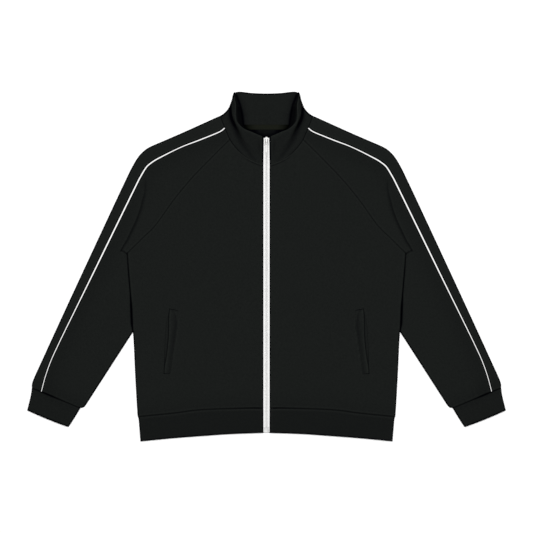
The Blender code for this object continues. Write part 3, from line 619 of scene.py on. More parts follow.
TOPSTITCH_IN = 3.8            # from the neck seam
EDGE_STITCH_IN = 5.4          # from the zip edge
STITCH_WIDTH = 0.9            # of the groove that a row of stitches draws in the cloth
EDGE_RIDGE_IN, EDGE_RIDGE_WIDTH = 2.0, 2.2     # between the zip edge and that row
FRONT_RIDGE = 0.5             # height of that ridge
RAGLAN_DEPTH, RAGLAN_LIP = 0.9, 0.3
BY_ZIP, AWAY_FROM_ZIP = 25.0, 70.0     # places along the neck seam


def by_zip(spots):
    """1 near the zip, where the neck seam lies under its turned allowance, and 0 away from it."""
    return smooth_step((AWAY_FROM_ZIP - spots[..., 0]) / (AWAY_FROM_ZIP - BY_ZIP))


def neck_relief(spots):
    neck = neck_line.distance(spots)
    share = by_zip(spots)
    stitches = (0.15 + 0.35 * share) * hump(neck - TOPSTITCH_IN, STITCH_WIDTH)
    return seam(neck, 1.0 - 0.75 * share) - stitches


def raglan_relief(spots):
    return seam(raglan_line.distance(spots), RAGLAN_DEPTH, lip=RAGLAN_LIP)


def turned_edge(spots, ridge):
    """Relief beside the zip: the turned edge's ridge, its row of stitches and its rounding."""
    edge = np.abs(spots[..., 0]) - ZIP_EDGE
    relief = ridge * hump(edge - EDGE_RIDGE_IN, EDGE_RIDGE_WIDTH)
    return relief - 0.28 * hump(edge - EDGE_STITCH_IN, STITCH_WIDTH) - 0.5 * hump(edge, 0.7)


def front_relief(spots, side):
    """Ridges and valleys of a front: its seams, its turned zip edge, the pocket and the slack."""
    relief = neck_relief(spots) + raglan_relief(spots)
    relief += seam(hem_seam.distance(spots), 1.1, lip=0.5) + turned_edge(spots, FRONT_RIDGE)
    return relief - pressed(spots, pocket_valley) + slack(spots, side)


# Painted shade on the body's side beside the sleeve, and a painted highlight along the pocket's
# ridge.
SIDE_DARK = [
    (299.5, 27.5, 0.7, 1.6, 1.4), (297.0, -8.0, 0.9, 1.9, 1.6), (292.8, -60.0, 0.95, 1.7, 1.7),
    (290.7, -88.0, 1.6, 2.7, 2.3), (289.2, -122.0, 1.6, 2.9, 2.3), (287.4, -142.0, 0.8, 1.6, 1.6)]
POCKET_RIDGE = [
    (198.0, -94.0, 0.0, 1.2, 1.2), (191.6, -108.0, -0.14, 1.2, 1.2),
    (190.4, -130.0, -0.16, 1.2, 1.2), (193.6, -153.0, -0.16, 1.2, 1.2),
    (200.6, -199.0, -0.12, 1.2, 1.2), (205.0, -225.0, 0.0, 1.2, 1.2)]
EDGE_DARK, EDGE_SOFT = 3.2, 1.4        # where the dark beside the zip ends, and over what width
EDGE_LIGHT, EDGE_LIGHT_WIDTH = 4.6, 0.9        # place and width of the light line beyond it
FRONT_EDGE_DARK = 0.75
RAGLAN_DARK = (0.45, 1.0)              # strength and width of a seam's shade
HEM_HOLLOW = (0.1, 30.0)               # and of the soft shade above the hem
HEM_DARK_X, HEM_DARK_REACH = 16.0, 40.0
FOLD_DARK, FOLD_DARK_WIDTH = 0.88, 3.0


def neck_light(spots, stitched):
    """Shade of the neck seam, and of the topstitched line beside it where there is one."""
    neck = neck_line.distance(spots)
    share = by_zip(spots)
    light = dark_line(neck, 0.75 - 0.65 * share, STITCH_WIDTH) * light_line(neck, 0.22 * share, 2.8)
    return light * dark_line(neck - TOPSTITCH_IN, (0.08 + 0.8 * share) * stitched, STITCH_WIDTH)


def edge_light(away, strength):
    """Shade beside an edge that turns down to the zip."""
    dark = 1.0 - strength * smooth_step((EDGE_DARK - away) / EDGE_SOFT)
    return dark * light_line(away - EDGE_LIGHT, 0.14, EDGE_LIGHT_WIDTH)


def fold_light(spots, *folds):
    """Shade of a folded edge, which turns away from the light."""
    distance = np.min([fold.distance(spots) for fold in folds], axis=0)
    return dark_border(distance, FOLD_DARK, FOLD_DARK_WIDTH)


def by_zip_foot(spots):
    """1 by the zip's foot, where the hem seam is deepest, and falling to 0 along it."""
    return hump(spots[..., 0] - HEM_DARK_X, HEM_DARK_REACH)


def hem_seam_light(spots, width):
    return dark_line(hem_seam.distance(spots), 0.5 + 0.45 * by_zip_foot(spots), width)


def front_light(skin):
    spots = plan_of(skin)
    light = neck_light(spots, 1.0) * edge_light(spots[..., 0] - ZIP_EDGE, FRONT_EDGE_DARK)
    light *= dark_line(raglan_line.distance(spots), *RAGLAN_DARK) * hem_seam_light(spots, 1.5)
    light *= light_past(spots, SIDE_DARK, POCKET_RIDGE)
    light *= dark_line(hem_seam.distance(spots), *HEM_HOLLOW)
    return light * fold_light(spots, side_lower)


def front_skin(side):
    rows, heights, down = body_rows()
    zip_edge = np.stack([np.full_like(rows, ZIP_EDGE), heights], axis=-1)
    outer, gap = side_border(rows, raglan_line, side_lower, ROW_HEM)
    over = row_shares(zip_edge, outer, 0.0, gap)
    neck = neck_line.part(len(NECK_FRONT) - 1, RAGLAN_START)
    spots = patch(neck, hem_seam, zip_edge, outer, over, down)
    skin = upper(spots, [side_upper, side_lower], front_relief(spots, side), gap=SEAM_GAP)
    return facing(skin * (side, 1.0, 1.0), up=True)


for hand, side in HANDS:
    skin = front_skin(side)
    piece = cloth_wall(f"front_{hand}", skin, CLOTH, plan=True, dim=front_light(skin))
    dress(piece, f"front_panel_{hand}", black_knit)


# ==== Back =======================================================================================
# The back is one piece of the same knit, from side fold to side fold. It lies flat on the board
# under the fronts, and its seams and a few slack places stand off the board.

NECK_BACK = [(0.0, 295.5), (31.0, 296.5), (56.0, 302.5)]
BACK_RAGLAN = [NECK_BACK[-1], (108.5, 245.0), (164.5, 176.5), (218.0, 107.5), (267.5, 56.0),
               UNDERARM]
BACK_PITCH = 5.0

back_raglan = Line(BACK_RAGLAN)
back_neck = Line([*mirrored(NECK_BACK[:0:-1]), *NECK_BACK])
back_hem = Line([*mirrored(HEM_SEAM[:0:-1]), (0.0, HEM_SEAM[0][1]), *HEM_SEAM[1:]])
other_back_raglan = Line(mirrored(BACK_RAGLAN))
body_folds = [side_upper, side_lower, Line(mirrored(SIDE_UPPER)), Line(mirrored(SIDE_LOWER))]


def under_relief(spots, *seams):
    """Lift of the lower ply off the board along its seams and where it is slack."""
    relief = np.maximum(slack(spots[..., ::-1], -1.0) - 0.15, 0.0)
    for line in seams:
        relief = relief + 0.9 * hump(line.distance(spots), 1.8)
    return relief


rows, _, down = body_rows(BACK_PITCH)
border, gap = side_border(rows, back_raglan, side_lower, ROW_HEM)
other_border = border * (-1.0, 1.0)
over = row_shares(other_border, border, gap, gap, BACK_PITCH)
spots = patch(back_neck, back_hem, other_border, border, over, down)
relief = under_relief(spots, back_neck, back_raglan, other_back_raglan, back_hem)
skin = facing(lower(spots, body_folds, relief, gap=SEAM_GAP), up=False)
back = cloth_wall("back", skin, CLOTH, plan=True)
dress(back, "back_panel", black_knit)

# Its inner side, seen down the neck, lies in the shade of the collar's front.
NECK_MOUTH = [(0.0, 279.0), (8.7, 279.8), (19.4, 283.8), (28.4, 287.1), (40.8, 292.8),
              (48.1, 297.2), (55.6, 304.0)]
neck_mouth = Line(NECK_MOUTH)
MOUTH_LIGHT = 0.38
MOUTH_ACROSS = ((15.0, 1.0), (27.0, 0.05))     # distance from the middle, and the share left there
MOUTH_LOW = 240.0             # nothing below this height is seen down the neck
MOUTH_EDGE = (0.97, 5.0)      # strength and width of the shade at the collar's front


def read(table, places):
    """The second column of a table at places along its first."""
    return np.interp(places, *zip(*table))


def mouth_light(places):
    spots = plan_of(places)
    middle = read(MOUTH_ACROSS, spots[..., 0])
    return MOUTH_LIGHT * middle * dark_line(neck_mouth.distance(spots), *MOUTH_EDGE)


lit_again(back, lambda middle, square: (square[:, 2] > 0.5) & (middle[:, 1] > MOUTH_LOW),
          mouth_light)


# ==== Sleeves ====================================================================================
# Each sleeve is cut in two along the shoulder: a front part below the piping, and a back part that
# goes over the top fold and under it to the lower fold. Both reach from the neck to the cuff.

TOP_FOLD = [NECK_FRONT[0], (108.0, 319.4), (133.3, 308.0), (184.9, 284.9), (223.6, 268.2),
            (249.4, 257.0), (262.3, 248.9), (275.2, 235.7), (288.1, 214.9), (301.0, 188.9),
            (326.8, 134.2), (403.2, -29.9), (450.2, -131.7), (482.7, -202.8), (498.6, -237.6),
            (504.3, -252.5), (504.8, -262.2)]
PIPING_LINE = [NECK_FRONT[PIPING_START], (99.8, 288.6), (124.7, 278.1), (150.5, 268.0),
               (176.3, 258.4), (202.0, 246.7), (227.9, 233.5), (240.8, 226.4), (253.0, 217.6),
               (260.0, 209.9), (270.4, 192.5), (279.4, 175.2), (329.8, 72.0), (380.1, -31.2),
               (430.8, -134.4), (447.4, -168.8), (463.1, -203.2), (475.3, -237.6),
               (484.0, -270.2)]
SLEEVE_LOWER = [SIDE_UPPER[-1], (300.9, -163.0), (353.0, -243.7), (379.6, -285.0),
                (388.8, -299.0), (393.8, -304.2), (400.2, -305.6)]
ROW_CUFF = 20.0
PIPING_AT_UNDERARM = 0.47     # share of the piping's length that lies before the underarm
# Shares of the piping's length, and its width there.
PIPING_WIDTHS = ((0.0, 2.35), (0.09, 2.6), (0.15, 2.1), (0.22, 2.8), (0.33, 3.05), (0.55, 3.05),
                 (0.66, 2.6), (0.75, 2.2), (0.85, 1.95), (1.0, 1.5))
SLEEVE_SPANS = (36.6, 31.0)   # length of a span at the neck and at the cuff
SLEEVE_PITCH = 2.2
SLEEVE_HOLLOW = (0.13, 24.0)  # strength and width of the soft shade by the cuff and the piping
PIPING_SHADE = (0.97, 2.2)    # and of the deep one right beside the piping
PIPING_LIGHT_IN = 4.4         # of the light line beyond that

# The drag from the shoulder to the underarm, and the tuck of cloth at its lower end. A row holds x,
# y, a depth and its widths to the left and right, and then the depth of its painted shade and its
# two widths.
DRAG = [(260.8, 190.7, 0.0, 1.6, 5.0, 0.0, 1.2, 2.4),
        (260.8, 175.2, 0.35, 1.6, 5.5, 0.26, 1.2, 3.0),
        (262.1, 157.6, 0.5, 1.6, 6.0, 0.34, 1.2, 3.4),
        (266.4, 142.3, 0.75, 1.6, 6.5, 0.42, 1.2, 4.0),
        (271.3, 122.6, 0.95, 1.6, 7.0, 0.46, 1.2, 4.4),
        (279.1, 100.6, 1.15, 1.6, 7.0, 0.46, 1.2, 4.4),
        (287.7, 81.9, 1.3, 1.6, 6.5, 0.46, 1.2, 4.2),
        (299.9, 55.9, 1.2, 1.5, 5.0, 0.46, 1.2, 3.6),
        (305.3, 47.1, 1.1, 1.4, 4.0, 0.5, 1.2, 3.0),
        (313.0, 33.5, 1.0, 1.3, 2.5, 0.5, 1.2, 2.0)]
TUCK = [(313.0, 33.5, 1.1, 1.3, 1.3, 0.5, 1.1, 1.1),
        (305.3, 29.7, 1.4, 1.4, 2.0, 0.7, 1.1, 1.5),
        (300.4, 25.4, 1.4, 1.4, 2.0, 0.7, 1.1, 1.5)]
TUCK_LINE = [(308.5, 28.8, 0.4, 1.2, 1.2), (301.2, 19.1, 0.7, 1.3, 1.3)]

# Small gathers where the wide sleeve is eased into the cuff: place along that seam, height, width
# and reach from the seam.
GATHERS = [
    (8.0, 0.35, 3.0, 12.0), (17.0, 0.25, 3.5, 9.0), (29.0, 0.55, 4.5, 15.0), (41.0, 0.3, 3.0, 10.0),
    (55.0, 0.7, 4.0, 17.0), (66.0, 0.4, 3.5, 12.0), (78.0, 0.5, 4.5, 14.0), (91.0, 0.35, 3.5, 10.0),
    (101.0, 0.3, 3.0, 9.0)]

piping_line, top_fold, sleeve_lower = Line(PIPING_LINE), Line(TOP_FOLD), Line(SLEEVE_LOWER)
cuff_seam = Line([TOP_FOLD[-1], SLEEVE_LOWER[-1]], smooth=False)
cuff_seam_curve = Line([TOP_FOLD[-1], PIPING_LINE[-1], SLEEVE_LOWER[-1]], smooth=False)
drag_folds = [[row[:5] for row in table] for table in (DRAG, TUCK)]
drag_shades = [[(*row[:2], *row[5:]) for row in table] for table in (DRAG, TUCK)]


def sleeve_share(rows):
    return np.interp(rows, (0.0, ROW_UNDERARM, ROW_CUFF), (0.0, PIPING_AT_UNDERARM, 1.0))


def piping_half(share):
    """Half the width of the piping, which is drawn tighter towards the cuff."""
    return read(PIPING_WIDTHS, share) / 2.0


def beside_piping(spots):
    """Distance of each spot from the nearer side of the piping."""
    distance, _, share = piping_line.nearest(spots)
    return distance - piping_half(share)


def gathered(spots):
    """Lift of the little folds beside the cuff's seam."""
    distance, _, share = cuff_seam.nearest(spots)
    along = share * cuff_seam.length
    return sum(height * hump(along - place, width) * hump(distance, reach)
               for place, height, width, reach in GATHERS)


def sleeve_relief(spots, side):
    relief = neck_relief(spots) + seam(beside_piping(spots), 0.55, width=1.3, lip=0.2)
    relief += seam(cuff_seam_curve.distance(spots), 1.2, lip=0.35) + gathered(spots)
    return relief + slack(spots, side)


def sleeve_front_relief(spots, side):
    relief = sleeve_relief(spots, side) + raglan_relief(spots)
    return relief - sum(pressed(spots, fold) for fold in (*drag_folds, TUCK_LINE))


def cuff_seam_light(spots, width):
    """Shade of the cuff's seam, deepest between the piping and the middle."""
    distance, _, share = cuff_seam_curve.nearest(spots)
    deep = hump(share - 0.34, 0.22)
    return dark_line(distance, 0.6 + 0.45 * deep, width * (0.75 + 0.65 * deep))


def sleeve_light(skin):
    spots = plan_of(skin)
    light = neck_light(spots, 1.0) * light_past(spots, SIDE_DARK, *drag_shades)
    beside = beside_piping(spots)
    light *= dark_border(beside, *PIPING_SHADE) * light_line(beside - PIPING_LIGHT_IN, 0.12, 1.3)
    light *= dark_line(cuff_seam.distance(spots), *SLEEVE_HOLLOW)
    light *= dark_line(raglan_line.distance(spots), *RAGLAN_DARK)
    light *= cuff_seam_light(spots, 1.4)
    return light * fold_light(spots, sleeve_lower, top_fold)


def between_lines(first, last, over):
    return first[:, None] + (last - first)[:, None] * over[..., None]


def sleeve_front_skin(side):
    rows = row_counts(ROW_CUFF, *SLEEVE_SPANS, SLEEVE_PITCH)
    high = piping_line.at(sleeve_share(rows))
    low, gap = side_border(rows, raglan_line, sleeve_lower, ROW_CUFF)
    over = row_shares(high, low, piping_half(sleeve_share(rows)) + SEAM_GAP, gap, SLEEVE_PITCH)
    spots = between_lines(high, low, over)
    skin = upper(spots, [side_upper, sleeve_lower], sleeve_front_relief(spots, side),
                 gap=SEAM_GAP)
    return facing(skin * (side, 1.0, 1.0), up=True)


def sleeve_back_skin(side):
    rows = row_counts(ROW_CUFF, *SLEEVE_SPANS, BACK_PITCH)
    high, fold = piping_line.at(sleeve_share(rows)), top_fold.at(sleeve_share(rows))
    low, gap = side_border(rows, back_raglan, sleeve_lower, ROW_CUFF)
    folds = [side_upper, sleeve_lower, top_fold]
    over = row_shares(high, fold, piping_half(sleeve_share(rows)) + SEAM_GAP, 0.0, BACK_PITCH)
    flap = between_lines(high, fold, over)
    flap = upper(flap, folds, sleeve_relief(flap, side))
    over = row_shares(fold, low, 0.0, gap, BACK_PITCH)
    under = between_lines(fold, low, over)
    relief = under_relief(under, back_raglan, cuff_seam)
    near_low = np.linalg.norm(under - low[:, None], axis=-1) < FOLD_DEPTH * 2.0
    under = lower(under, folds, relief, gap=np.where(near_low, SEAM_GAP, 0.0))
    skin = np.concatenate([flap, under[:, 1:]], axis=1) * (side, 1.0, 1.0)
    return facing(skin, up=False, column=skin.shape[1] * 3 // 4)


for hand, side in HANDS:
    skin = sleeve_front_skin(side)
    hollow = dark_line(beside_piping(plan_of(skin)) - 5.0, *SLEEVE_HOLLOW)
    piece = cloth_wall(f"sleeve_{hand}_front", skin, CLOTH, plan=True,
                       dim=sleeve_light(skin) * hollow)
    dress(piece, f"sleeve_front_{hand}", black_knit)
    skin = sleeve_back_skin(side)
    piece = cloth_wall(f"sleeve_{hand}_back", skin, CLOTH, dim=sleeve_light(skin))
    dress(piece, f"sleeve_back_{hand}", black_knit)


# ==== Piping =====================================================================================
# A thin white knit cord set in the seam between the two sleeve parts, from the neck to the cuff.
# Its folded cover stands a little over the black knit on either side.

PIPING_PROUD = 0.8
PIPING_FOOT = 0.1             # its foot over the underside of the cloth
PIPING_CAP = 0.9              # length of its rounded ends
PIPING_END = np.array([0.0, 0.12, 0.35, PIPING_CAP])           # places of the rings there
PIPING_SIDES = 14
PIPING_STEP = 3.0
PIPING_DARK, PIPING_WHITE = (0.74, 0.74, 0.73), (0.88, 0.88, 0.87)     # painted shade between its ribs, and its colour on them
PIPING_RIB = 1.1
PIPING_SQUARE = 0.75          # below 1, its section is squarer than an ellipse

piping_finish = Finish("piping_knit", PIPING_WHITE, 0.6, specular=0.25)
around, along_cord = piping_finish.cloth_place()
ribs = abs(((along_cord + around * 0.6) * (math.pi / PIPING_RIB)).sine())
# Its colour is painted darker between the ribs, as shade, and varies at random.
piping_colour = piping_finish.between(ribs * 0.4 + piping_finish.grain(1.6) * 0.6,
                                      PIPING_DARK, PIPING_WHITE)
piping_finish.feed(piping_finish.surface, {"Base Color": piping_colour})
piping_finish.raised(ribs * 0.7 + piping_finish.grain(0.4) * 0.3, 0.12, 0.6)


def swept_rings(path, wide, foot, head):
    """Rings of a flattened round section along a plan path, drawn in to a point at its ends."""
    along = np.gradient(path, axis=0)
    along /= np.linalg.norm(along, axis=1, keepdims=True)
    square = np.stack([-along[:, 1], along[:, 0]], axis=-1)
    turn = np.linspace(0.0, 2.0 * math.pi, PIPING_SIDES + 1)
    flat, tall = (np.sign(wave) * np.abs(wave) ** PIPING_SQUARE
                  for wave in (np.cos(turn), np.sin(turn)))
    place = np.concatenate([[0.0], np.cumsum(np.linalg.norm(np.diff(path, axis=0), axis=1))])
    inset = np.clip(np.minimum(place, place[-1] - place) / PIPING_CAP, 0.0, 1.0)
    full = np.sqrt(1.0 - (1.0 - inset) ** 2)[:, None]
    plan = path[:, None] + square[:, None] * (full * flat * wide / 2)[..., None]
    middle, half = (head + foot) / 2, (head - foot) / 2
    return np.concatenate([plan, (middle[:, None] + full * tall * half[:, None])[..., None]],
                          axis=-1)


even = np.linspace(0.0, 1.0, round(piping_line.length / PIPING_STEP))
reach = piping_line.length - 4.0 * SEAM_GAP
place = 2.0 * SEAM_GAP + np.concatenate([
    PIPING_END[:-1], PIPING_CAP + even * (reach - 2.0 * PIPING_CAP), reach - PIPING_END[-2::-1]])
path = piping_line.at(place / piping_line.length)
top = lay_height(path)
wide = 2.0 * piping_half(place / piping_line.length)[:, None]
rings = swept_rings(path, wide, top - CLOTH + PIPING_FOOT, top + PIPING_PROUD)
for hand, side in HANDS:
    skin = (rings[:, ::-1] if side > 0.0 else rings) * (side, 1.0, 1.0)
    piece = finish_piece(grid_piece(f"piping_cord_{hand}", skin, closed=True))
    dress(piece, f"piping_{hand}", piping_finish.material)


# ==== Cuffs ======================================================================================
# Each cuff is a flattened tube of doubled black knit, sewn to the sleeve's end. Its free edge is a
# fold, and bows out a little in the middle.

BAND_CLOTH = 2.2
CUFF_TOP = [TOP_FOLD[-1], (507.2, -279.5), (514.8, -310.2)]
CUFF_LOWER = [SLEEVE_LOWER[-1], (416.4, -332.0), (426.0, -346.2)]
CUFF_MIDDLE = (470.8, -328.8)
CUFF_BOW = 1.3
CUFF_PITCH = 2.2
CUFF_LIGHT = 0.86             # the cuff's doubled knit is painted darker than the single cloth
CUFF_HOLLOW = (0.12, 9.0)     # strength and width of the soft shade by its seam

cuff_top, cuff_lower = Line(CUFF_TOP), Line(CUFF_LOWER)
cuff_edge = Line([CUFF_TOP[-1], CUFF_MIDDLE, CUFF_LOWER[-1]])


def edge_stops(length, pitch):
    """Millimetres from one border to the other, in set steps beside each."""
    number = max(round(length / pitch), 4)
    middle = np.linspace(EDGE_STEPS[-1], length - EDGE_STEPS[-1], number)[1:-1]
    return np.concatenate([EDGE_STEPS, middle, length - EDGE_STEPS[::-1]])


def cuff_skin(side):
    down = edge_stops(cuff_top.length, CUFF_PITCH) / cuff_top.length
    high, low = cuff_top.at(down), cuff_lower.at(down)
    towards = cuff_top.at(0.1) - cuff_top.at(0.0)
    across = low - high
    over = row_shares(high, low, np.zeros(len(down)), np.zeros(len(down)), CUFF_PITCH)
    bow = np.stack([-across[:, 1], across[:, 0]], axis=-1)
    bow *= CUFF_BOW * down[:, None] / np.linalg.norm(across, axis=1, keepdims=True)
    spots = between_lines(high, low, over) + bow[:, None] * (4.0 * over * (1.0 - over))[..., None]
    spots[0] += towards / np.linalg.norm(towards) * SEAM_GAP / 2
    distance = cuff_seam.distance(spots)
    relief = (0.5 * hump(distance - 20.0, 14.0) - 1.0 * hump(distance, 1.8) + gathered(spots)
              + 0.6 * slack(spots, side))
    top = upper(spots, [cuff_top, cuff_lower], relief, BAND_CLOTH)
    under = lower(spots, [cuff_top, cuff_lower], 0.5 * hump(distance, 1.8), BAND_CLOTH)
    skin = np.concatenate([top, under[:, -2::-1]], axis=1) * (side, 1.0, 1.0)
    return facing(skin, up=True, column=over.shape[1] // 2)


for hand, side in HANDS:
    skin = cuff_skin(side)
    spots = plan_of(skin)
    light = (CUFF_LIGHT * cuff_seam_light(spots, 1.8)
             * dark_line(cuff_seam.distance(spots), *CUFF_HOLLOW)
             * fold_light(spots, cuff_top, cuff_lower, cuff_edge))
    piece = cloth_wall(f"cuff_tube_{hand}", skin, BAND_CLOTH, closed=True, edge=0.8, dim=light)
    dress(piece, f"cuff_{hand}", black_knit)


# ==== Hem band ===================================================================================
# One strip of the doubled knit, from zip edge to zip edge round both sides and across the back.
# It is sewn to the fronts and the back, and its free edge is a fold.

HEM_SIDE = [HEM_SEAM[-1], (275.2, -328.5), (273.5, -347.0), (271.2, -377.2)]
HEM_EDGE = [(ZIP_EDGE, -358.8), (81.7, -361.6), (133.3, -365.2), (198.0, -370.1), (240.0, -374.1),
            HEM_SIDE[-1]]
BAND_PITCH = 3.2
BAND_LIGHT = 0.76
BAND_LIGHT_IN = 3.2           # of the light line beside its seam
BAND_RIDGE, BAND_EDGE_DARK = 0.35, 0.8         # beside the zip

hem_side, hem_edge = Line(HEM_SIDE), Line(HEM_EDGE)
band_folds = [hem_side, Line(mirrored(HEM_SIDE))]


def band_relief(spots, seam_line):
    distance = seam_line.distance(spots)
    near_zip = hump(np.abs(spots[..., 0]) - 24.0, 26.0)
    relief = 0.35 * hump(distance - 24.0, 16.0) - 0.9 * hump(distance, 1.6)
    relief += (0.2 + 0.25 * near_zip) * hump(distance - 3.0, 2.0)
    return relief + turned_edge(spots, BAND_RIDGE)


def band_half(seam_corners, edge_corners, across, down):
    """Plan points of one half of the band, from the middle or the zip to the side fold."""
    seam_spots, edge_spots = Line(seam_corners).at(across), Line(edge_corners).at(across)
    bow = hem_side.at(down)[:, 0] - (HEM_SEAM[-1][0] + (HEM_EDGE[-1][0] - HEM_SEAM[-1][0]) * down)
    spots = between_lines(seam_spots, edge_spots, np.tile(down, (len(across), 1)))
    spots = spots.swapaxes(0, 1)
    spots[..., 0] += bow[:, None] * across
    return spots


down = edge_stops(hem_side.length, BAND_PITCH) / hem_side.length
down[0] += SEAM_GAP / 2 / hem_side.length
across = edge_stops(hem_seam.length, BAND_PITCH) / hem_seam.length
spots = band_half(HEM_SEAM, HEM_EDGE, across, down)
front = upper(spots, band_folds, band_relief(spots, hem_seam) + 0.6 * slack(spots), BAND_CLOTH)
spots = band_half([(0.0, HEM_SEAM[0][1]), *HEM_SEAM[1:]], [(0.0, HEM_EDGE[0][1]), *HEM_EDGE[1:]],
                  across, down)
under = lower(spots, band_folds, 0.5 * hump(back_hem.distance(spots), 1.8), BAND_CLOTH)
half = np.concatenate([front, under[:, -2::-1]], axis=1)
skin = np.concatenate([half, half[:, -2::-1] * (-1.0, 1.0, 1.0)], axis=1)
skin = facing(skin, up=True, column=len(across) // 2)
spots = plan_of(skin)
light = BAND_LIGHT * hem_seam_light(spots, 1.3)
light *= light_line(hem_seam.distance(spots) - BAND_LIGHT_IN, 0.3 + 0.15 * by_zip_foot(spots), 1.3)
light *= np.where(skin[..., 2] > 2.0, edge_light(spots[..., 0] - ZIP_EDGE, BAND_EDGE_DARK), 1.0)
light *= fold_light(spots, hem_side, hem_edge)
band = cloth_wall("waist_band", skin, BAND_CLOTH, edge=0.8, dim=light)
dress(band, "hem_band", black_knit)


# ==== Collar =====================================================================================
# The stand collar is one doubled strip of the knit, sewn round the neck. Behind it lies flat on the
# board; its sides and front fold over themselves and stand up, and their two layers puff apart.

COLLAR_CLOTH = 2.4
COLLAR_STEPS, COLLAR_ROUNDS = 10, 7    # between the stations, and round each section
COLLAR_FALL = 0.9             # the cloth rolls this far down into the neck seam
COLLAR_SWELL = 0.7            # and lifts this far between the seam and the crease
COLLAR_ROLL = 2.2             # reach of its roll beside the seam
COLLAR_TURN = 2.2             # drop of its inner layer beside the top edge
ZIP_EDGE_TOP = 5.9            # the edges draw closer towards the top of the zip

# Each front section runs from the neck seam over the crease and the bulge of the outer layer to
# the top edge, and down the inner layer to its foot. A row holds its crease, the reach of the cloth
# tucked under the bulge, the bulge, the top edge and the foot; heights are over the board.
COLLAR_FRONT = [
    ((78.4, 336.5, 5.6), 4.5, (74.9, 338.5, 13.0), (66.6, 346.0, 18.0), (57.3, 345.0, 4.0)),
    ((78.0, 323.0, 5.0), 6.0, (74.6, 324.5, 15.0), (66.8, 331.0, 21.0), (53.6, 331.0, 3.9)),
    ((73.3, 310.5, 5.0), 5.5, (70.9, 312.5, 14.0), (66.4, 318.7, 21.5), (51.5, 319.5, 3.9)),
    ((68.5, 297.5, 5.1), 3.5, (66.0, 300.5, 12.5), (63.6, 308.2, 20.5), (50.0, 308.5, 3.9)),
    ((61.6, 281.5, 5.6), 1.0, (59.0, 288.0, 10.8), (54.6, 298.4, 17.5), (47.3, 298.0, 5.0)),
    ((52.8, 264.5, 6.8), 0.0, (50.0, 274.5, 10.8), (44.5, 291.6, 15.0), (41.0, 291.1, 8.5)),
    ((40.8, 249.5, 8.2), 0.0, (37.2, 262.5, 10.6), (34.0, 287.6, 13.0), (32.5, 285.6, 8.4)),
    ((26.6, 236.5, 9.1), 0.0, (24.5, 252.0, 10.3), (20.8, 281.9, 11.6), (20.0, 279.2, 7.8)),
    ((ZIP_EDGE, 228.5, 9.3), 0.0, (6.3, 248.0, 10.2), (ZIP_EDGE_TOP, 276.0, 10.8),
     (ZIP_EDGE_TOP, 273.7, 8.4)),
]
# The side fold, seen as the outline from above, and how far its inner layer lies inside it and
# nearer to the front.
COLLAR_SIDE = [(99.5, 323.2, 4.0), (94.6, 325.9, 4.2), (86.9, 332.6, 4.4), (81.0, 340.4, 4.6),
               (77.2, 349.8, 4.8), (74.4, 358.0, 5.0), (72.3, 367.0, 5.2)]
COLLAR_SIDE_RIM = (70.0, 371.4, 5.2)
COLLAR_SIDE_IN, COLLAR_SIDE_DOWN = 3.0, 0.8
# The back, flat on the board: plan points up its sections, and shares along them.
COLLAR_BACK = [[(0.0, 295.5), (0.0, 332.0), (0.0, 371.3)],
               [(31.0, 296.5), (31.5, 333.0), (31.0, 372.4)],
               [(56.0, 302.5), (53.0, 336.0), (50.0, 374.6)],
               [(76.5, 311.7), (65.0, 338.0), (60.5, 375.2)],
               [(92.0, 318.6), (75.0, 339.0), (67.0, 373.6)]]
COLLAR_BACK_SHARES = (0.0, 0.06, 0.25, 0.45, 0.65, 0.85, 0.95)          # up the lower layer
COLLAR_RETURN_SHARES = (0.97, 0.9, 0.65, 0.45, 0.2)    # and down the upper one


def flat_section(corners):
    line = Line(corners)
    up = [(*line.at(share), 0.0 if share else 0.5) for share in COLLAR_BACK_SHARES]
    down = [(*line.at(share), COLLAR_CLOTH) for share in COLLAR_RETURN_SHARES]
    return [*up, (*line.at(1.0), COLLAR_CLOTH / 2), *down, (*line.at(0.03), COLLAR_CLOTH - 0.3)]


def side_section():
    side = [np.array(spot) for spot in COLLAR_SIDE]
    inner = [spot - (COLLAR_SIDE_IN, COLLAR_SIDE_DOWN, 0.0) for spot in side]
    return [*side, COLLAR_SIDE_RIM, *inner[:0:-1]]


def part_way(first, last, share, height):
    """The plan spot this share of the way from first to last, at a height of its own."""
    spot = first * (1.0 - share) + last * share
    return np.array([*spot[:2], height])


def level_step(first, last):
    """The level direction from first to last, one millimetre long."""
    step = (last - first) * (1.0, 1.0, 0.0)
    return step / np.linalg.norm(step)


def standing_section(seam_spot, section):
    """Outer layer from the seam to the top edge, then the inner layer back under it."""
    crease, tuck, bulge, rim, foot = (np.array(part) for part in section)
    top = float(lay_height(np.array(seam_spot)))
    seam_spot = np.array([*seam_spot, top - COLLAR_FALL])
    roll = seam_spot + level_step(seam_spot, crease) * COLLAR_ROLL
    roll[2] = top + 0.1
    swell = part_way(seam_spot, crease, 0.5, top + COLLAR_SWELL)
    tucked = part_way(crease, bulge, 0.55, crease[2] + 0.25 * (bulge[2] - crease[2]))
    tucked += level_step(crease, rim) * tuck
    crest = part_way(bulge, rim, 0.45, max(rim[2] - 1.2, bulge[2] * 0.4 + rim[2] * 0.6))
    turn = part_way(rim, foot, 0.2, rim[2] - COLLAR_TURN)
    wall_height = min(rim[2] * 0.4 + foot[2] * 0.6, crest[2] - COLLAR_CLOTH)
    wall = part_way(rim, foot, 0.6, wall_height)
    under_height = min(foot[2], crease[2] - COLLAR_CLOTH) * 0.5 + foot[2] * 0.5 - 0.3
    under = part_way(foot, crease, 0.5, under_height)
    below = crease - (0.0, 0.0, COLLAR_CLOTH)
    back_roll = roll - (0.0, 0.0, COLLAR_CLOTH + 0.2)
    return [seam_spot, roll, swell, crease, tucked, bulge, crest, rim, turn, wall, foot, under,
            below, back_roll]


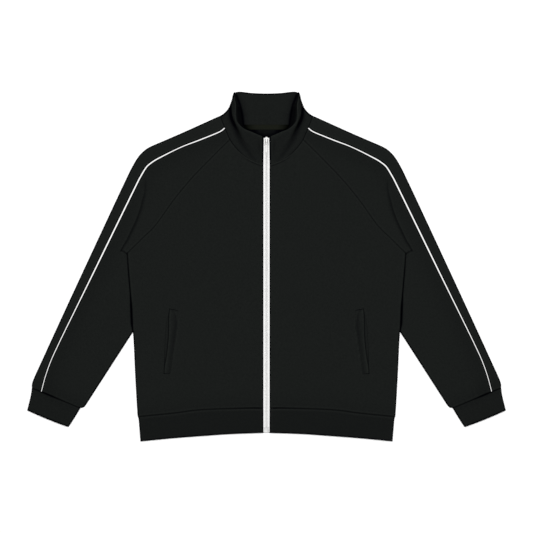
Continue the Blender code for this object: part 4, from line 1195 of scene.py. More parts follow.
sections = [flat_section(corners) for corners in COLLAR_BACK] + [side_section()]
sections += [standing_section(*pair) for pair in zip(NECK_FRONT[1:], COLLAR_FRONT)]
half = np.array([[np.array(spot, float) for spot in [*line, line[0]]] for line in sections])
controls = np.concatenate([half[:0:-1] * (-1.0, 1.0, 1.0), half])
skin = rounded(rounded(controls, COLLAR_STEPS).swapaxes(0, 1), COLLAR_ROUNDS)
skin[..., 2] = np.maximum(skin[..., 2], 0.0)
skin = facing(skin, up=True, column=skin.shape[1] - 2 * COLLAR_STEPS, row=2 * COLLAR_ROUNDS)

# The inner side of the standing part lies in shade, most at its foot, and so does what is by it.
COLLAR_FOOT = [(64.4, 367.0), (61.9, 360.2), (57.6, 349.0), (54.5, 337.7), (52.0, 326.5),
               (50.5, 315.2), (49.2, 304.0)]
collar_foot = Line(COLLAR_FOOT)
FOOT_DARKEST, FOOT_DARK_WIDTH, FOOT_DARK_REACH = 0.98, 2.7, 9.0
OUTLINE_SHADE = (0.97, 3.3)   # strength and width of the shade on its outline's rounding


def by_foot(skin, under=0.0):
    """The light that reaches points beside the foot of the standing part. On its outer side, which
    the bulge hangs over, a share of the light is taken off."""
    away, side, _ = collar_foot.nearest(plan_of(skin))
    near = np.exp(-(away / FOOT_DARK_WIDTH) ** 3)
    light = 1.0 - FOOT_DARKEST * near - 0.35 * hump(away, FOOT_DARK_REACH) * (1.0 - near)
    return light * (1.0 - under * (side > 0.0))


collar_outline = Line([*(side[:2] for side in COLLAR_SIDE), COLLAR_SIDE_RIM[:2],
                       *(line[-1] for line in COLLAR_BACK[::-1])])

# Painted shade in the crevice between the lying and the standing part, then in a soft hollow by the
# zip and on a fine line on the bulge.
CREVICE_DARK = [
    (77.6, 349.0, 1.3, 2.8, 1.5), (76.4, 335.5, 1.8, 3.9, 1.5), (75.6, 326.5, 1.9, 4.2, 1.5),
    (73.9, 317.5, 1.8, 4.6, 1.5), (70.8, 308.6, 1.5, 4.8, 1.8), (67.2, 299.6, 0.95, 5.0, 2.4),
    (63.4, 289.4, 0.62, 5.2, 3.2), (59.4, 278.2, 0.42, 5.4, 4.2), (53.1, 265.8, 0.34, 5.6, 5.0),
    (46.4, 255.7, 0.3, 5.6, 5.0), (40.7, 247.8, 0.28, 5.2, 5.0), (32.9, 236.6, 0.26, 4.6, 4.6),
    (26.1, 228.7, 0.2, 4.0, 4.4), (17.0, 222.0, 0.04, 3.0, 3.0)]
HOLLOW_DARK = [(17.0, 274.0, 0.0, 3.5, 3.5), (16.0, 264.0, 0.2, 3.5, 3.5),
               (15.0, 250.0, 0.22, 3.5, 3.5), (14.0, 240.0, 0.05, 3.5, 3.5)]
BULGE_LINE = [(69.4, 352.0, 0.2, 0.9, 0.9), (68.9, 333.0, 0.35, 0.9, 0.9),
              (66.8, 322.5, 0.1, 0.9, 0.9)]
RIM_LIGHT = 0.2
COLLAR_EDGE_DARK = 0.96       # beside the zip
STANDING_LIGHT, LYING_LIGHT = 0.85, 0.92
UNDER_BULGE = 0.55            # share of the light that the bulge takes off what lies under it
STANDS_FROM = 4.5             # sections from the middle behind to where a side starts to stand
TURN_FROM, TURN_OVER = 4.6, 1.8        # and to where it starts to turn its inside up, and over
RIM_RING = 7.0                # the top edge, counted in points round a section
# Light down the inner layer of the standing part: counts of such points, and the light there.
INNER_LIGHT = ((RIM_RING, 1.0), (7.5, 0.8), (8.0, 0.48), (8.6, 0.34), (9.4, 0.28), (10.0, 0.0))

around = np.arange(skin.shape[0])[:, None] / COLLAR_ROUNDS
inside = read(INNER_LIGHT, around)
station = np.abs(np.arange(skin.shape[1]) - skin.shape[1] // 2) / COLLAR_STEPS
standing = np.clip(station - STANDS_FROM, 0.0, 1.0)
turned = np.clip((station - TURN_FROM) / TURN_OVER, 0.0, 1.0)
spots = plan_of(skin)
outside = (around <= RIM_RING + 0.4) * standing
light = light_past(spots, CREVICE_DARK, HOLLOW_DARK, BULGE_LINE) * neck_light(spots, 0.0)
light *= light_line(around - RIM_RING, RIM_LIGHT, 0.3)
light *= edge_light(spots[..., 0] - ZIP_EDGE, COLLAR_EDGE_DARK)
inside = inside * np.where(around > RIM_RING + 0.4, by_foot(skin), 1.0)
dim = (1.0 - outside * (1.0 - light)) * (1.0 - turned * (1.0 - inside))
dim *= LYING_LIGHT + (STANDING_LIGHT - LYING_LIGHT) * standing
lying = (1.0 - standing) * (skin[..., 2] > 1.0)
dim *= 1.0 - lying * (1.0 - by_foot(skin, UNDER_BULGE))
dim *= dark_border(collar_outline.distance(spots), *OUTLINE_SHADE)
collar = grid_piece("stand_collar", skin, closed=True, shade=shade_of(skin) * dim)
bpy.ops.object.mode_set(mode="EDIT")
bpy.ops.mesh.select_all(action="DESELECT")
bpy.ops.mesh.select_non_manifold()
bpy.ops.mesh.edge_face_add()
bpy.ops.object.mode_set(mode="OBJECT")
finish_piece(collar)
dress(collar, "collar", black_knit)


# ==== Neck tape ==================================================================================
# A narrow dark olive twill tape covers the back neck seam on the inside. It is stitched down along
# both edges and lies on the inner layer of the collar.

NECK_TAPE_HALF, NECK_TAPE_LOW, NECK_TAPE_HIGH = 60.0, 293.4, 304.0
NECK_TAPE_CLOTH = 1.0
NECK_TAPE_OLIVE = (0.0078, 0.0087, 0.0063)
TWILL = 1.0                   # distance between its diagonal ribs
NECK_TAPE_STITCH_IN = 1.6     # of its stitches from its edges
NECK_TAPE_EDGE = (0.95, 3.0)  # strength and width of the shade at the collar's front
# Distance from the middle, and the light that the standing collar leaves there.
NECK_TAPE_LIGHT = ((22.0, 1.0), (31.6, 0.74), (37.4, 0.52), (43.2, 0.22), (49.0, 0.03))

olive_twill = Finish("olive_twill", NECK_TAPE_OLIVE, 0.8, specular=0.0)
across, along = olive_twill.cloth_place()
ribs = abs(((across + along) * (math.pi / TWILL)).sine())
olive_twill.raised(ribs * 0.8 + olive_twill.grain(0.4) * 0.3, 0.15, 0.8)
olive_twill.tint((ribs * 0.35 + olive_twill.grain(1.5) * 0.3 + 0.68) * olive_twill.shade())

stops = edge_stops(2.0 * NECK_TAPE_HALF, 2.0) - NECK_TAPE_HALF
rows = edge_stops(NECK_TAPE_HIGH - NECK_TAPE_LOW, 1.0) + NECK_TAPE_LOW
across, along = np.meshgrid(stops, rows)
middle = (NECK_TAPE_LOW + NECK_TAPE_HIGH) / 2
crown = 0.25 * (1.0 - ((along - middle) / (NECK_TAPE_HIGH - NECK_TAPE_LOW) * 2.0) ** 2)
height = COLLAR_CLOTH + CAD_GAP + NECK_TAPE_CLOTH + crown
for edge in (NECK_TAPE_LOW + NECK_TAPE_STITCH_IN, NECK_TAPE_HIGH - NECK_TAPE_STITCH_IN):
    height -= 0.2 * hump(along - edge, 0.7)
skin = facing(np.stack([across, along, height], axis=-1), up=True)
light = read(NECK_TAPE_LIGHT, np.abs(skin[..., 0]))
light *= dark_line(neck_mouth.distance(plan_of(skin)), *NECK_TAPE_EDGE)
neck_tape = cloth_wall("neck_twill", skin, NECK_TAPE_CLOTH, plan=True, edge=0.25, dim=light)
dress(neck_tape, "neck_tape", olive_twill.material)


# ==== Pockets ====================================================================================
# Each slanted side pocket has a welt of the doubled knit: its fold is the edge of the opening, and
# its other edge is sewn to the front. Beside the fold a sliver of the pocket's facing shows.

WELT_OUTER = [(208.6, -91.0), (215.0, -122.6), (217.3, -142.2), (219.0, -177.0),
              (219.4, -205.6), (221.0, -232.0)]
WELT_INNER = [(191.0, -94.6), (190.4, -104.5), (190.6, -116.0), (191.6, -130.0), (195.0, -150.0),
              (198.6, -172.0), (202.9, -199.8), (206.8, -232.5)]
WELT_MOUTH = [(208.2, -91.2), (210.0, -107.7), (210.4, -124.9), (210.7, -148.0), (213.2, -176.8),
              (216.3, -202.0), (218.4, -213.0), (220.6, -232.0)]
WELT_CLOTH = 1.4
WELT_PUFF = 1.5               # height of its fold over its sewn edge
WELT_ROLL = 2.2               # reach of that fold's rounding
WELT_FLAT_END = 9.0           # length over which it flattens at either end
WELT_GAPE = 0.35              # depth to which the facing sinks beside it
WELT_BARS = (0.035, 0.965)    # shares of its length at which bars of stitches press it down
WELT_PITCH = 2.0
SLIVER_POINTS = 5             # across the facing
FOLD_STEPS = np.array([0.0, 0.25, 0.6, 1.2, 2.0, 3.0])         # of the points on the fold

welt_outer, welt_inner, welt_mouth = Line(WELT_OUTER), Line(WELT_INNER), Line(WELT_MOUTH)


def welt_skin(side):
    down = edge_stops(welt_outer.length, WELT_PITCH) / welt_outer.length
    outer, inner, mouth = welt_outer.at(down), welt_inner.at(down), welt_mouth.at(down)
    sliver = np.linspace(0.0, 1.0, SLIVER_POINTS)
    widths = np.linalg.norm(inner - mouth, axis=1)[:, None]
    rest = np.linspace(0.0, 1.0, 8)[1:]
    folded = FOLD_STEPS / widths
    over = np.concatenate([np.minimum(folded, 0.9),
                           folded[:, -1:] + (1.0 - folded[:, -1:]) * rest], axis=1)
    facing_spots = between_lines(outer, mouth, np.tile(sliver, (len(down), 1)))
    welt_spots = between_lines(mouth, inner, np.clip(over, 0.0, 1.0))
    base = lay_height(facing_spots) + WELT_CLOTH * 0.5
    gape = WELT_GAPE * hump(down - 0.55, 0.3)[:, None]
    facing_height = base - gape * np.sin(np.pi * sliver) - WELT_GAPE * (sliver == 1.0)
    millimetres = np.linalg.norm(welt_spots - mouth[:, None], axis=-1)
    share = np.clip(millimetres / widths, 0.0, 1.0)
    rise = np.sqrt(1.0 - (1.0 - np.clip(millimetres / WELT_ROLL, 0.0, 1.0)) ** 2)
    ends = (np.minimum(down, 1.0 - down) * welt_outer.length / WELT_FLAT_END)[:, None]
    puff = WELT_PUFF * rise * (1.0 - 0.75 * share ** 1.5) * (0.35 + 0.65 * smooth_step(ends))
    welt_height = lay_height(welt_spots) + WELT_CLOTH * 0.5 + 0.1 + puff
    skin = np.concatenate([
        np.concatenate([facing_spots, facing_height[..., None]], axis=-1),
        np.concatenate([welt_spots, welt_height[..., None]], axis=-1)[:, 1:]], axis=1)
    for end in WELT_BARS:
        skin[..., 2] -= 0.3 * hump((down - end) * welt_outer.length, 1.0)[:, None]
    return facing(skin * (side, 1.0, 1.0), up=True, column=6)


# Painted shade along the opening, the sewn edge, the outer edge and the ends.
MOUTH_DARK = [
    (208.2, -91.2, 0.55, 0.9, 0.9), (210.0, -107.7, 0.7, 1.0, 1.4), (210.4, -124.9, 0.7, 1.0, 1.3),
    (210.7, -148.0, 0.65, 1.0, 1.2), (213.2, -176.8, 0.65, 1.0, 1.2),
    (216.3, -202.0, 0.5, 1.0, 1.0), (218.4, -213.0, 0.2, 1.0, 1.0)]
SEWN_DARK = [
    (202.0, -93.5, 0.1, 3.0, 0.6), (196.0, -104.0, 0.3, 3.5, 0.8), (193.6, -116.0, 0.34, 5.5, 0.8),
    (193.4, -130.0, 0.36, 7.0, 0.8), (196.4, -152.0, 0.36, 7.5, 0.8),
    (200.0, -176.0, 0.32, 7.0, 1.0), (204.0, -200.0, 0.26, 6.0, 1.5),
    (208.5, -230.0, 0.3, 4.0, 2.0)]
OUTER_DARK = [
    (208.6, -91.0, 0.0, 0.8, 0.8), (215.0, -122.6, 0.42, 0.9, 0.9), (217.3, -142.2, 0.38, 0.9, 0.9),
    (219.0, -177.0, 0.38, 0.9, 0.9), (219.4, -205.6, 0.8, 1.3, 1.5), (221.0, -232.0, 0.8, 1.3, 1.5)]
TOP_DARK = [(208.6, -91.9, 0.8, 1.1, 1.1), (199.0, -93.7, 0.8, 1.1, 1.1),
            (191.2, -95.5, 0.6, 1.0, 1.0)]
FOOT_DARK = [(221.0, -231.2, 0.8, 1.1, 1.1), (214.0, -231.5, 0.6, 1.1, 1.1),
             (207.5, -231.7, 0.2, 1.0, 1.0)]


def welt_light(skin):
    spots = plan_of(skin)
    light = light_past(spots, MOUTH_DARK, SEWN_DARK, OUTER_DARK, TOP_DARK, FOOT_DARK)
    fold = welt_mouth.nearest(spots)
    return light * light_line(fold[0] - FOLD_STEPS[-1], 0.1 * (fold[1] < 0.0), 1.5)


for hand, side in HANDS:
    skin = welt_skin(side)
    piece = cloth_wall(f"welt_{hand}", skin, WELT_CLOTH * 0.5, plan=True, edge=0.15,
                       dim=welt_light(skin))
    dress(piece, f"pocket_welt_{hand}", black_knit)


# ==== Zip tapes ==================================================================================
# Two white woven tapes, sewn under the edges of the fronts, the collar and the band. Each has a
# fine herringbone weave and a row of stitches beside the teeth.

ZIP_TOP, ZIP_FOOT = 275.2, -358.0
TAPE_INNER = 0.6              # of its edge beside the teeth from the zip's middle
# Its points from that edge, close together at a groove, at a step and where cloth covers it.
TAPE_STOPS = np.array([0.0, 0.3, 0.9, 1.8, 2.7, 3.3, 3.9, 4.6, 5.4, 6.15, 6.4, 7.0, 8.0, 9.5, 11.5,
                       13.0, 13.9])
TAPE_GROOVE_X, TAPE_STEP_X = 3.9, 6.6  # from the zip's middle
TAPE_CLOTH = 1.0
TAPE_SHORTER = 3.0            # by which its covered margin ends above its foot
TAPE_PITCH = 4.0
TAPE_WHITE = (0.76, 0.76, 0.755)
HERRINGBONE, HERRINGBONE_RISE = 1.9, 0.8
RIM_TOP = 9.6                 # middle of the collar's cloth on the top edge beside the zip
RIM_Y = 276.5

white_tape = Finish("white_tape", TAPE_WHITE, 0.7, specular=0.3)
across, along = white_tape.cloth_place()
chevron = abs((across * (math.pi / HERRINGBONE)).sine()) * 1.1
weave = abs(((along + chevron) * (math.pi / HERRINGBONE_RISE)).sine())
white_tape.raised(weave * 0.8 + white_tape.grain(0.5) * 0.25, 0.12, 0.7)
white_tape.tint((weave * 0.07 + white_tape.grain(2.0) * 0.05 + 0.91) * white_tape.shade())


def tape_top(height):
    """Top of the zip tape, just under the fronts and the collar."""
    neck = FRONT_HEIGHTS[0]
    level = np.minimum(height, neck)
    seat = lay_height(np.stack([np.zeros_like(level), level], axis=-1)) - CLOTH - CAD_GAP
    top = RIM_TOP - COLLAR_CLOTH / 2 - CAD_GAP
    return seat + (top - seat) * np.clip((height - neck) / (RIM_Y - neck), 0.0, 1.0)


rows = np.linspace(ZIP_TOP, ZIP_FOOT, round((ZIP_TOP - ZIP_FOOT) / TAPE_PITCH))
across, along = np.meshgrid(TAPE_INNER + TAPE_STOPS, rows)
along = np.maximum(along, ZIP_FOOT + TAPE_SHORTER * np.clip(across - ZIP_EDGE, 0.0, 1.0))
height = (tape_top(along) - 0.18 * hump(across - TAPE_GROOVE_X, 0.5)
          + 0.1 * hump(across - TAPE_STEP_X, 1.4))
for hand, side in HANDS:
    skin = facing(np.stack([across * side, along, height], axis=-1), up=True)
    # Painted shade: the tape is darkened where the cloth of the fronts covers it.
    covered = np.clip((np.abs(skin[..., 0]) - ZIP_EDGE) / 0.3, 0.0, 1.0)
    piece = cloth_wall(f"tape_{hand}", skin, TAPE_CLOTH, plan=True, edge=0.2,
                       dim=1.0 - 0.97 * covered)
    dress(piece, f"zip_tape_{hand}", white_tape.material)


# ==== Zip teeth ==================================================================================
# Two coils of white nylon lie closed into each other on the tapes, from the slider to the box.
# Every turn shows as one small bar across the tape's edge, held by stitches.

BOX_SIZE = (9.6, 12.0, 3.0)
CHAIN_TOP = 257.8
TURN_PITCH = 1.35
TURN_SIZE = (3.6, 1.25, 1.35)  # across the zip, along it, and high
TURN_PLACE = 1.05             # of its middle beside the zip's middle
TURN_LEAN = 6.0               # degrees
COIL_WHITE = (0.77, 0.77, 0.765)
GROOVE_WIDTH = 0.9            # of the shade where the two coils meet
GROOVE_DEEP, GROOVE_REACH = 228.0, 24.0       # where it is deepest, below the tab, and how far


def shader_hump(distance, width):
    return math.e ** ((distance * (1.0 / width)) ** 2.0 * -1.0)


coil_nylon = Finish("coil_nylon", COIL_WHITE, 0.45, specular=0.4)
coil_x, coil_y = coil_nylon.spot()
by_tab = shader_hump(coil_y - GROOVE_DEEP, GROOVE_REACH)
groove = shader_hump(coil_x, GROOVE_WIDTH) * (by_tab * 0.14 + 0.2)
coil_nylon.tint(coil_nylon.grain(0.8) * 0.06 + 0.97 - groove)


def repeated(name, seed, places, turns):
    """One mesh of copies of the seed shape, each at its place and turned by its angle in plan."""
    shape = np.array([vertex.co for vertex in seed.data.vertices])
    faces = [np.array(face.vertices) for face in seed.data.polygons]
    bpy.data.objects.remove(seed)
    cos, sin = np.cos(turns)[:, None], np.sin(turns)[:, None]
    copies = np.stack([shape[:, 0] * cos - shape[:, 1] * sin,
                       shape[:, 0] * sin + shape[:, 1] * cos,
                       np.broadcast_to(shape[:, 2], (len(places), len(shape)))], axis=-1)
    copies += np.asarray(places)[:, None] * MM
    mesh = bpy.data.meshes.new(name)
    mesh.from_pydata(copies.reshape(-1, 3), [], [(face + number * len(shape)).tolist()
                                                for number in range(len(places))
                                                for face in faces])
    piece = bpy.data.objects.new(name, mesh)
    bpy.context.scene.collection.objects.link(piece)
    bpy.context.view_layer.objects.active = piece
    piece.select_set(True)
    return finish_piece(piece)


def bead(size):
    """A small rounded bar of this size, in millimetres."""
    bpy.ops.mesh.primitive_uv_sphere_add(segments=8, ring_count=4, radius=0.5)
    seed = bpy.context.object
    bpy.ops.transform.rotate(value=math.pi / 2, orient_axis="Y", center_override=(0.0, 0.0, 0.0))
    bpy.ops.object.transform_apply(location=True, rotation=True, scale=True)
    seed.scale = np.array(size) * MM
    bpy.ops.object.transform_apply(location=True, rotation=True, scale=True)
    seed.select_set(False)
    return seed


teeth_foot = ZIP_FOOT + BOX_SIZE[1] + CAD_GAP
places, turns = [], []
for side in (1.0, -1.0):
    heights = np.arange(CHAIN_TOP - (0.5 if side > 0.0 else 1.0) * TURN_PITCH, teeth_foot + 0.6,
                        -TURN_PITCH)
    for height in heights:
        level = float(tape_top(height)) + CAD_GAP + TURN_SIZE[2] / 2 - 0.15
        places.append((side * TURN_PLACE, height, level))
        turns.append(side * math.radians(TURN_LEAN))
teeth = repeated("zip_teeth", bead(TURN_SIZE), places, np.array(turns))
dress(teeth, "zip_chain", coil_nylon.material)


# ==== Slider =====================================================================================
# The slider is one moulded white piece: a body with a nose, which holds the coils together, a
# bridge over it, and two lugs with the pin that the pull tab hangs on.

SLIDER_SIZE = (9.2, 16.0, 2.0)
SLIDER_Y = 266.5
NOSE, NOSE_WIDTH, TAIL_WIDTH = 2.3, 0.4, 0.84     # its reach, and shares of the full width
RECESS_INSET, RECESS_DEPTH = 0.25, 1.4
RECESS_X, RECESS_FOOT, RECESS_TOP = 3.0, 261.5, 271.5
BRIDGE_SIZE = (2.9, 12.8, 1.6)
BRIDGE_Y, BRIDGE_RISE = 270.6, 1.1
ARCH_FOOT, ARCH_TOP = 267.0, 275.0     # the stretch of the bridge that rises
LUG_SIZE = (1.0, 4.0, 3.4)
LUG_X = 3.0
PIN_RADIUS, PIN_Y, PIN_HIGH = 0.7, 262.0, 12.435      # the pin lies on the pull's joint axis
SLIDER_CUTS = 5

NYLON_WHITE = (0.7, 0.7, 0.69)
MOAT_X, MOAT_WIDTH = 2.15, 0.75        # shade of the hollow round the bridge and the eye
MOAT_TOP, MOAT_FOOT = 273.0, 262.6


def nylon(name, colour=NYLON_WHITE):
    finish = Finish(name, colour, 0.38, specular=0.5)
    finish.raised(finish.grain(1.4) * 0.6 + finish.grain(0.3) * 0.4, 0.05, 0.5)
    finish.feed(finish.surface, {"Roughness": finish.grain(1.0) * 0.16 + 0.32})
    return finish


slider_nylon = nylon("slider_nylon")
moat_x, moat_y = slider_nylon.spot()
below = (moat_y - MOAT_FOOT).at_most(0.0)
moat = shader_hump(abs((moat_x ** 2.0 + below * below) ** 0.5 - MOAT_X), MOAT_WIDTH)
moat = moat * ((MOAT_TOP - moat_y) * 0.7).at_most(1.0).at_least(0.0)
slider_nylon.tint(slider_nylon.grain(1.0) * 0.04 + 0.98 - moat * 0.85)

slider_seat = float(tape_top(np.array(SLIDER_Y + SLIDER_SIZE[1] / 2))) + CAD_GAP + 0.15
plate_top = slider_seat + SLIDER_SIZE[2]
pin_centre = np.array([0.0, PIN_Y, PIN_HIGH])


def block(name, size, centre):
    bpy.ops.mesh.primitive_cube_add(size=MM, location=np.array(centre) * MM)
    piece = bpy.context.object
    piece.name = piece.data.name = name
    piece.scale = size
    bpy.ops.object.transform_apply(location=True, rotation=True, scale=True)
    return piece


def cut_up(cuts):
    bpy.ops.object.mode_set(mode="EDIT")
    bpy.ops.mesh.select_all(action="SELECT")
    bpy.ops.mesh.subdivide(number_cuts=cuts)
    bpy.ops.object.mode_set(mode="OBJECT")


def open_on(piece, test):
    """Edit the piece with those faces selected whose middle and direction pass the test."""
    bpy.ops.object.mode_set(mode="EDIT")
    bpy.ops.mesh.select_mode(type="FACE")
    bpy.ops.mesh.select_all(action="DESELECT")
    bpy.ops.object.mode_set(mode="OBJECT")
    for face in piece.data.polygons:
        face.select = bool(test(np.array(face.center) / MM, face.normal))
    bpy.ops.object.mode_set(mode="EDIT")


def close_edit():
    bpy.ops.object.mode_set(mode="OBJECT")


def bevelled(piece, width, segments=2, angle=35.0):
    """The piece with its edges rounded, and no longer selected."""
    edges = piece.modifiers.new("edges", "BEVEL")
    edges.width = width * MM
    edges.segments = segments
    edges.limit_method = "ANGLE"
    edges.angle_limit = math.radians(angle)
    bpy.ops.object.modifier_apply(modifier=edges.name)
    piece.select_set(False)
    return piece


def joined(*pieces):
    """One object made of these pieces, under the first one's name."""
    for piece in pieces:
        piece.select_set(True)
    bpy.context.view_layer.objects.active = pieces[0]
    bpy.ops.object.join()
    return bpy.context.object


def crisp(piece):
    """The piece, still selected, shaded smooth but for its sharp edges."""
    bpy.ops.object.shade_smooth_by_angle(angle=math.radians(40.0))
    piece.select_set(False)
    return piece


slider = block("slider", SLIDER_SIZE, (0.0, SLIDER_Y, slider_seat + SLIDER_SIZE[2] / 2))
cut_up(SLIDER_CUTS)
open_on(slider, lambda middle, square: square[1] > 0.9)
bpy.ops.transform.resize(value=(NOSE_WIDTH, 1.0, 1.0))
bpy.ops.transform.translate(value=(0.0, NOSE * MM, 0.0))
close_edit()
open_on(slider, lambda middle, square: square[1] < -0.9)
bpy.ops.transform.resize(value=(TAIL_WIDTH, 1.0, 1.0))
close_edit()
open_on(slider, lambda middle, square: square[2] > 0.9 and abs(middle[0]) < RECESS_X
        and RECESS_FOOT < middle[1] < RECESS_TOP)
bpy.ops.mesh.inset(thickness=RECESS_INSET * MM)
bpy.ops.transform.translate(value=(0.0, 0.0, -RECESS_DEPTH * MM))
close_edit()
bevelled(slider, 0.4, segments=3)

bridge = block("bridge", BRIDGE_SIZE, (0.0, BRIDGE_Y, plate_top + 1.2 - BRIDGE_SIZE[2] / 2))
cut_up(SLIDER_CUTS)
open_on(bridge, lambda middle, square: square[2] > 0.9 and ARCH_FOOT < middle[1] < ARCH_TOP)
bpy.ops.transform.translate(value=(0.0, 0.0, BRIDGE_RISE * MM))
close_edit()
bevelled(bridge, 0.45, segments=3, angle=20.0)

lug_middle = plate_top - 0.4 + LUG_SIZE[2] / 2
lugs = [bevelled(block("lug", LUG_SIZE, (side * LUG_X, PIN_Y, lug_middle)), 0.35, segments=3)
        for _, side in HANDS]
bpy.ops.mesh.primitive_cylinder_add(radius=PIN_RADIUS * MM, depth=2.0 * LUG_X * MM, vertices=24,
                                    location=pin_centre * MM, rotation=(0.0, math.pi / 2, 0.0))
pin = bpy.context.object
bpy.ops.object.transform_apply(location=True, rotation=True, scale=True)
slider = crisp(joined(slider, bridge, *lugs, pin))
dress(slider, "zip_slider", slider_nylon.material)


# ==== Pull tab ===================================================================================
# A flat moulded tab with a shallow panel on both sides. Its eye turns freely on the slider's pin,
# and it lies on the closed coils below the slider.

PULL_WIDTH, PULL_LENGTH, PULL_THICK = 4.4, 19.0, 1.4
PULL_EYE, PULL_WALL = 1.6, 0.6
PULL_SLOPE = 6.5              # degrees by which the tab slopes down to the coils
PANEL_INSET, PANEL_DEPTH = 0.75, 0.3
PULL_ROUND = 1.1              # of the tab's corners in plan
PANEL_TOP = 259.0             # the panel is in the shade of the eye below this height
TAB_SHADES = ((261.1, 0.8, 0.3), (243.6, 0.9, 0.22))        # height, reach and depth

pull_nylon = nylon("pull_nylon")
_, pull_y = pull_nylon.spot()
tone = 1.0 - ((PANEL_TOP - pull_y) * 0.8).at_most(1.0).at_least(0.0) * 0.15
for height, reach, depth in TAB_SHADES:
    tone = tone - shader_hump(pull_y - height, reach) * depth
pull_nylon.tint(tone)

pull = block("pull_tab", (PULL_WIDTH, PULL_LENGTH, PULL_THICK),
             (0.0, -(PULL_LENGTH / 2 + PULL_EYE / 2), 0.0))
bpy.ops.object.mode_set(mode="EDIT")
bpy.ops.mesh.select_mode(type="EDGE")
bpy.ops.mesh.select_all(action="DESELECT")
close_edit()
for edge in pull.data.edges:
    ends = [pull.data.vertices[index].co / MM for index in edge.vertices]
    edge.select = abs(ends[0].z - ends[1].z) > PULL_THICK / 2 and ends[0].y < -PULL_LENGTH / 2
bpy.ops.object.mode_set(mode="EDIT")
bpy.ops.mesh.bevel(offset=PULL_ROUND * MM, segments=5)
close_edit()
open_on(pull, lambda middle, square: abs(square[2]) > 0.9)
bpy.ops.mesh.inset(thickness=PANEL_INSET * MM)
bpy.ops.transform.resize(value=(1.0, 1.0, 1.0 - 2.0 * PANEL_DEPTH / PULL_THICK))
close_edit()
bevelled(pull, 0.22)
bpy.ops.mesh.primitive_cylinder_add(radius=PULL_EYE * MM, depth=PULL_WIDTH * MM, vertices=28,
                                    end_fill_type="NOTHING", rotation=(0.0, math.pi / 2, 0.0))
eye = bpy.context.object
bpy.ops.object.transform_apply(location=True, rotation=True, scale=True)
wall = eye.modifiers.new("wall", "SOLIDIFY")
wall.thickness = PULL_WALL * MM
wall.offset = -1.0
bpy.ops.object.modifier_apply(modifier=wall.name)
bevelled(eye, 0.15)
pull = joined(pull, eye)
pull.location = pin_centre * MM
pull.rotation_euler = (math.radians(PULL_SLOPE), 0.0, 0.0)
bpy.ops.object.transform_apply(location=True, rotation=True, scale=True)
crisp(pull)
dress(pull, "zip_pull", pull_nylon.material, body="pull")


# ==== Zip box ====================================================================================
# The moulded stop at the zip's foot: a base and a box that holds the left tape's pin, with the
# sheath of the right tape's pin beside it.

BASE_HIGH = 1.3
SHEATH_WIDTH, SHEATH_LENGTH, SHEATH_HIGH = 1.6, 8.4, 2.7
BOX_SLIT = 0.35
BOX_INSET, BOX_HOLLOW = 1.1, 0.3       # of its top
BOX_WHITE_IN_SHADE = (0.52, 0.52, 0.515)

# The box is the slider's nylon painted darker, as shade.
shaded_box_nylon = nylon("shaded_box_nylon", BOX_WHITE_IN_SHADE)
shaded_box_nylon.tint(shaded_box_nylon.grain(1.0) * 0.04 + 0.98)

box_seat = float(tape_top(np.array(ZIP_FOOT))) + CAD_GAP
box_middle, box_top = ZIP_FOOT + BOX_SIZE[1] / 2, ZIP_FOOT + BOX_SIZE[1]
keeper_width = BOX_SIZE[0] - SHEATH_WIDTH - BOX_SLIT
zip_box = block("foot_box", (keeper_width, *BOX_SIZE[1:]),
                ((keeper_width - BOX_SIZE[0]) / 2, box_middle, box_seat + BOX_SIZE[2] / 2))
open_on(zip_box, lambda middle, square: square[2] > 0.9)
bpy.ops.mesh.inset(thickness=BOX_INSET * MM)
bpy.ops.transform.translate(value=(0.0, 0.0, -BOX_HOLLOW * MM))
close_edit()
bevelled(zip_box, 0.45, segments=3)
base = bevelled(block("base", (*BOX_SIZE[:2], BASE_HIGH),
                      (0.0, box_middle, box_seat + BASE_HIGH / 2)), 0.3)
sheath = bevelled(block("sheath", (SHEATH_WIDTH, SHEATH_LENGTH, SHEATH_HIGH),
                        ((BOX_SIZE[0] - SHEATH_WIDTH) / 2, box_top - SHEATH_LENGTH / 2,
                         box_seat + SHEATH_HIGH / 2)), 0.4, segments=3)
zip_box = crisp(joined(zip_box, base, sheath))
dress(zip_box, "zip_box", shaded_box_nylon.material)


# ==== Topstitching ===============================================================================
# Rows of lockstitch in matching thread hold the neck seam's allowance and the edges over the zip,
# and bars of short stitches close the ends of the pockets.

THREAD_BLACK = (0.0105, 0.0115, 0.011)
STITCH_PITCH, STITCH_SIZE = 3.0, (2.3, 0.5, 0.42)
STITCH_LIFT = 0.05            # of a stitch's middle over the cloth
BAR_PITCH = 0.8
EDGE_ROW_TOP, EDGE_ROW_FOOT = 272.0, -353.0
TAPE_ROW_X, TAPE_ROW_TOP, TAPE_ROW_FOOT = 4.5, 256.0, -344.0
RAY_FROM = 100.0              # height from which the cloth's top is looked for


def thread(name, colour, roughness, specular, dark, fleck):
    """Twisted thread, whose tone varies from dark by as much as the fleck."""
    finish = Finish(name, colour, roughness, specular)
    finish.raised(finish.grain(0.25), 0.05, 0.6)
    finish.tint(finish.grain(0.6) * fleck + dark)
    return finish.material


black_thread = thread("black_thread", THREAD_BLACK, 0.6, specular=0.1, dark=0.75, fleck=0.5)
white_thread = thread("white_thread", TAPE_WHITE, 0.55, specular=0.3, dark=0.88, fleck=0.15)


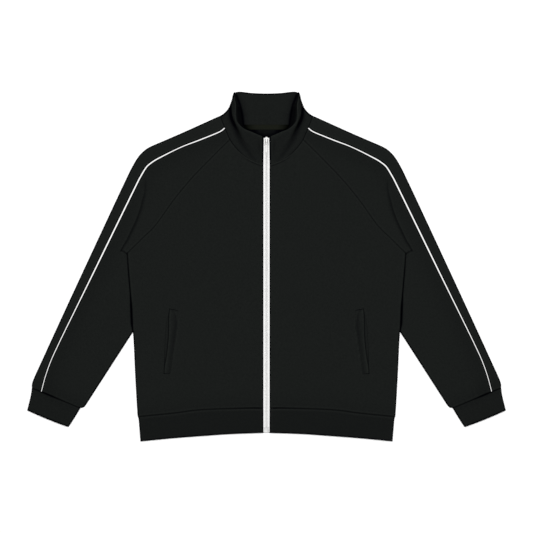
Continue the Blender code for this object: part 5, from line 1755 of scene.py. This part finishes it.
def stitched(name, pieces, line, side, pitch=STITCH_PITCH, turned=0.0):
    """A row of stitches along a plan line, lying on whichever of the pieces is on top."""
    number = round(line.length / pitch)
    shares = (np.arange(number) + 0.5) / number
    spots = line.at(shares) * (side, 1.0)
    ahead = line.at(np.minimum(shares + 0.25 / number, 1.0)) * (side, 1.0) - spots
    turns = np.arctan2(ahead[:, 1], ahead[:, 0]) + turned
    places, kept = [], []
    for (x, y), turn in zip(spots, turns):
        start = (x * MM, y * MM, RAY_FROM * MM)
        hits = [piece.ray_cast(start, (0.0, 0.0, -1.0)) for piece in pieces]
        tops = [place.z / MM for hit, place, _, _ in hits if hit]
        if tops:
            places.append((x, y, max(tops) + STITCH_LIFT))
            kept.append(turn)
    return repeated(name, bead(STITCH_SIZE), places, np.array(kept))


bpy.context.view_layer.update()
across = neck_line.points[PIPING_START * Line.STEPS:]
ahead = np.gradient(across, axis=0)
square = np.stack([-ahead[:, 1], ahead[:, 0]], axis=-1) / np.linalg.norm(ahead, axis=1)[:, None]
topstitch = across - square * TOPSTITCH_IN * np.sign(square[:, 1:])
neck_row = Line(topstitch[topstitch[:, 0] > ZIP_EDGE + 3.0], smooth=False)
edge_x = ZIP_EDGE + EDGE_STITCH_IN
edge_row = Line([(edge_x, EDGE_ROW_TOP), (edge_x, EDGE_ROW_FOOT)], smooth=False)
tape_row = Line([(TAPE_ROW_X, TAPE_ROW_TOP), (TAPE_ROW_X, TAPE_ROW_FOOT)], smooth=False)
bars = [("top", Line([WELT_OUTER[0], WELT_INNER[0]], smooth=False)),
        ("foot", Line([WELT_OUTER[-1], WELT_INNER[-1]], smooth=False))]
for hand, side in HANDS:
    front, sleeve, tape, welt = (bpy.data.objects[name] for name in (
        f"front_{hand}", f"sleeve_{hand}_front", f"tape_{hand}", f"welt_{hand}"))
    stitches = stitched(f"neck_stitches_{hand}", [front, sleeve], neck_row, side)
    dress(stitches, f"front_panel_{hand}", black_thread)
    stitches = stitched(f"edge_stitches_{hand}", [front, collar, band], edge_row, side)
    dress(stitches, f"front_panel_{hand}", black_thread)
    stitches = stitched(f"tape_stitches_{hand}", [tape], tape_row, side)
    dress(stitches, f"zip_tape_{hand}", white_thread)
    for place, line in bars:
        stitches = stitched(f"pocket_bar_{place}_{hand}", [front, welt], line, side, BAR_PITCH,
                            math.pi / 2)
        dress(stitches, f"pocket_welt_{hand}", black_thread)
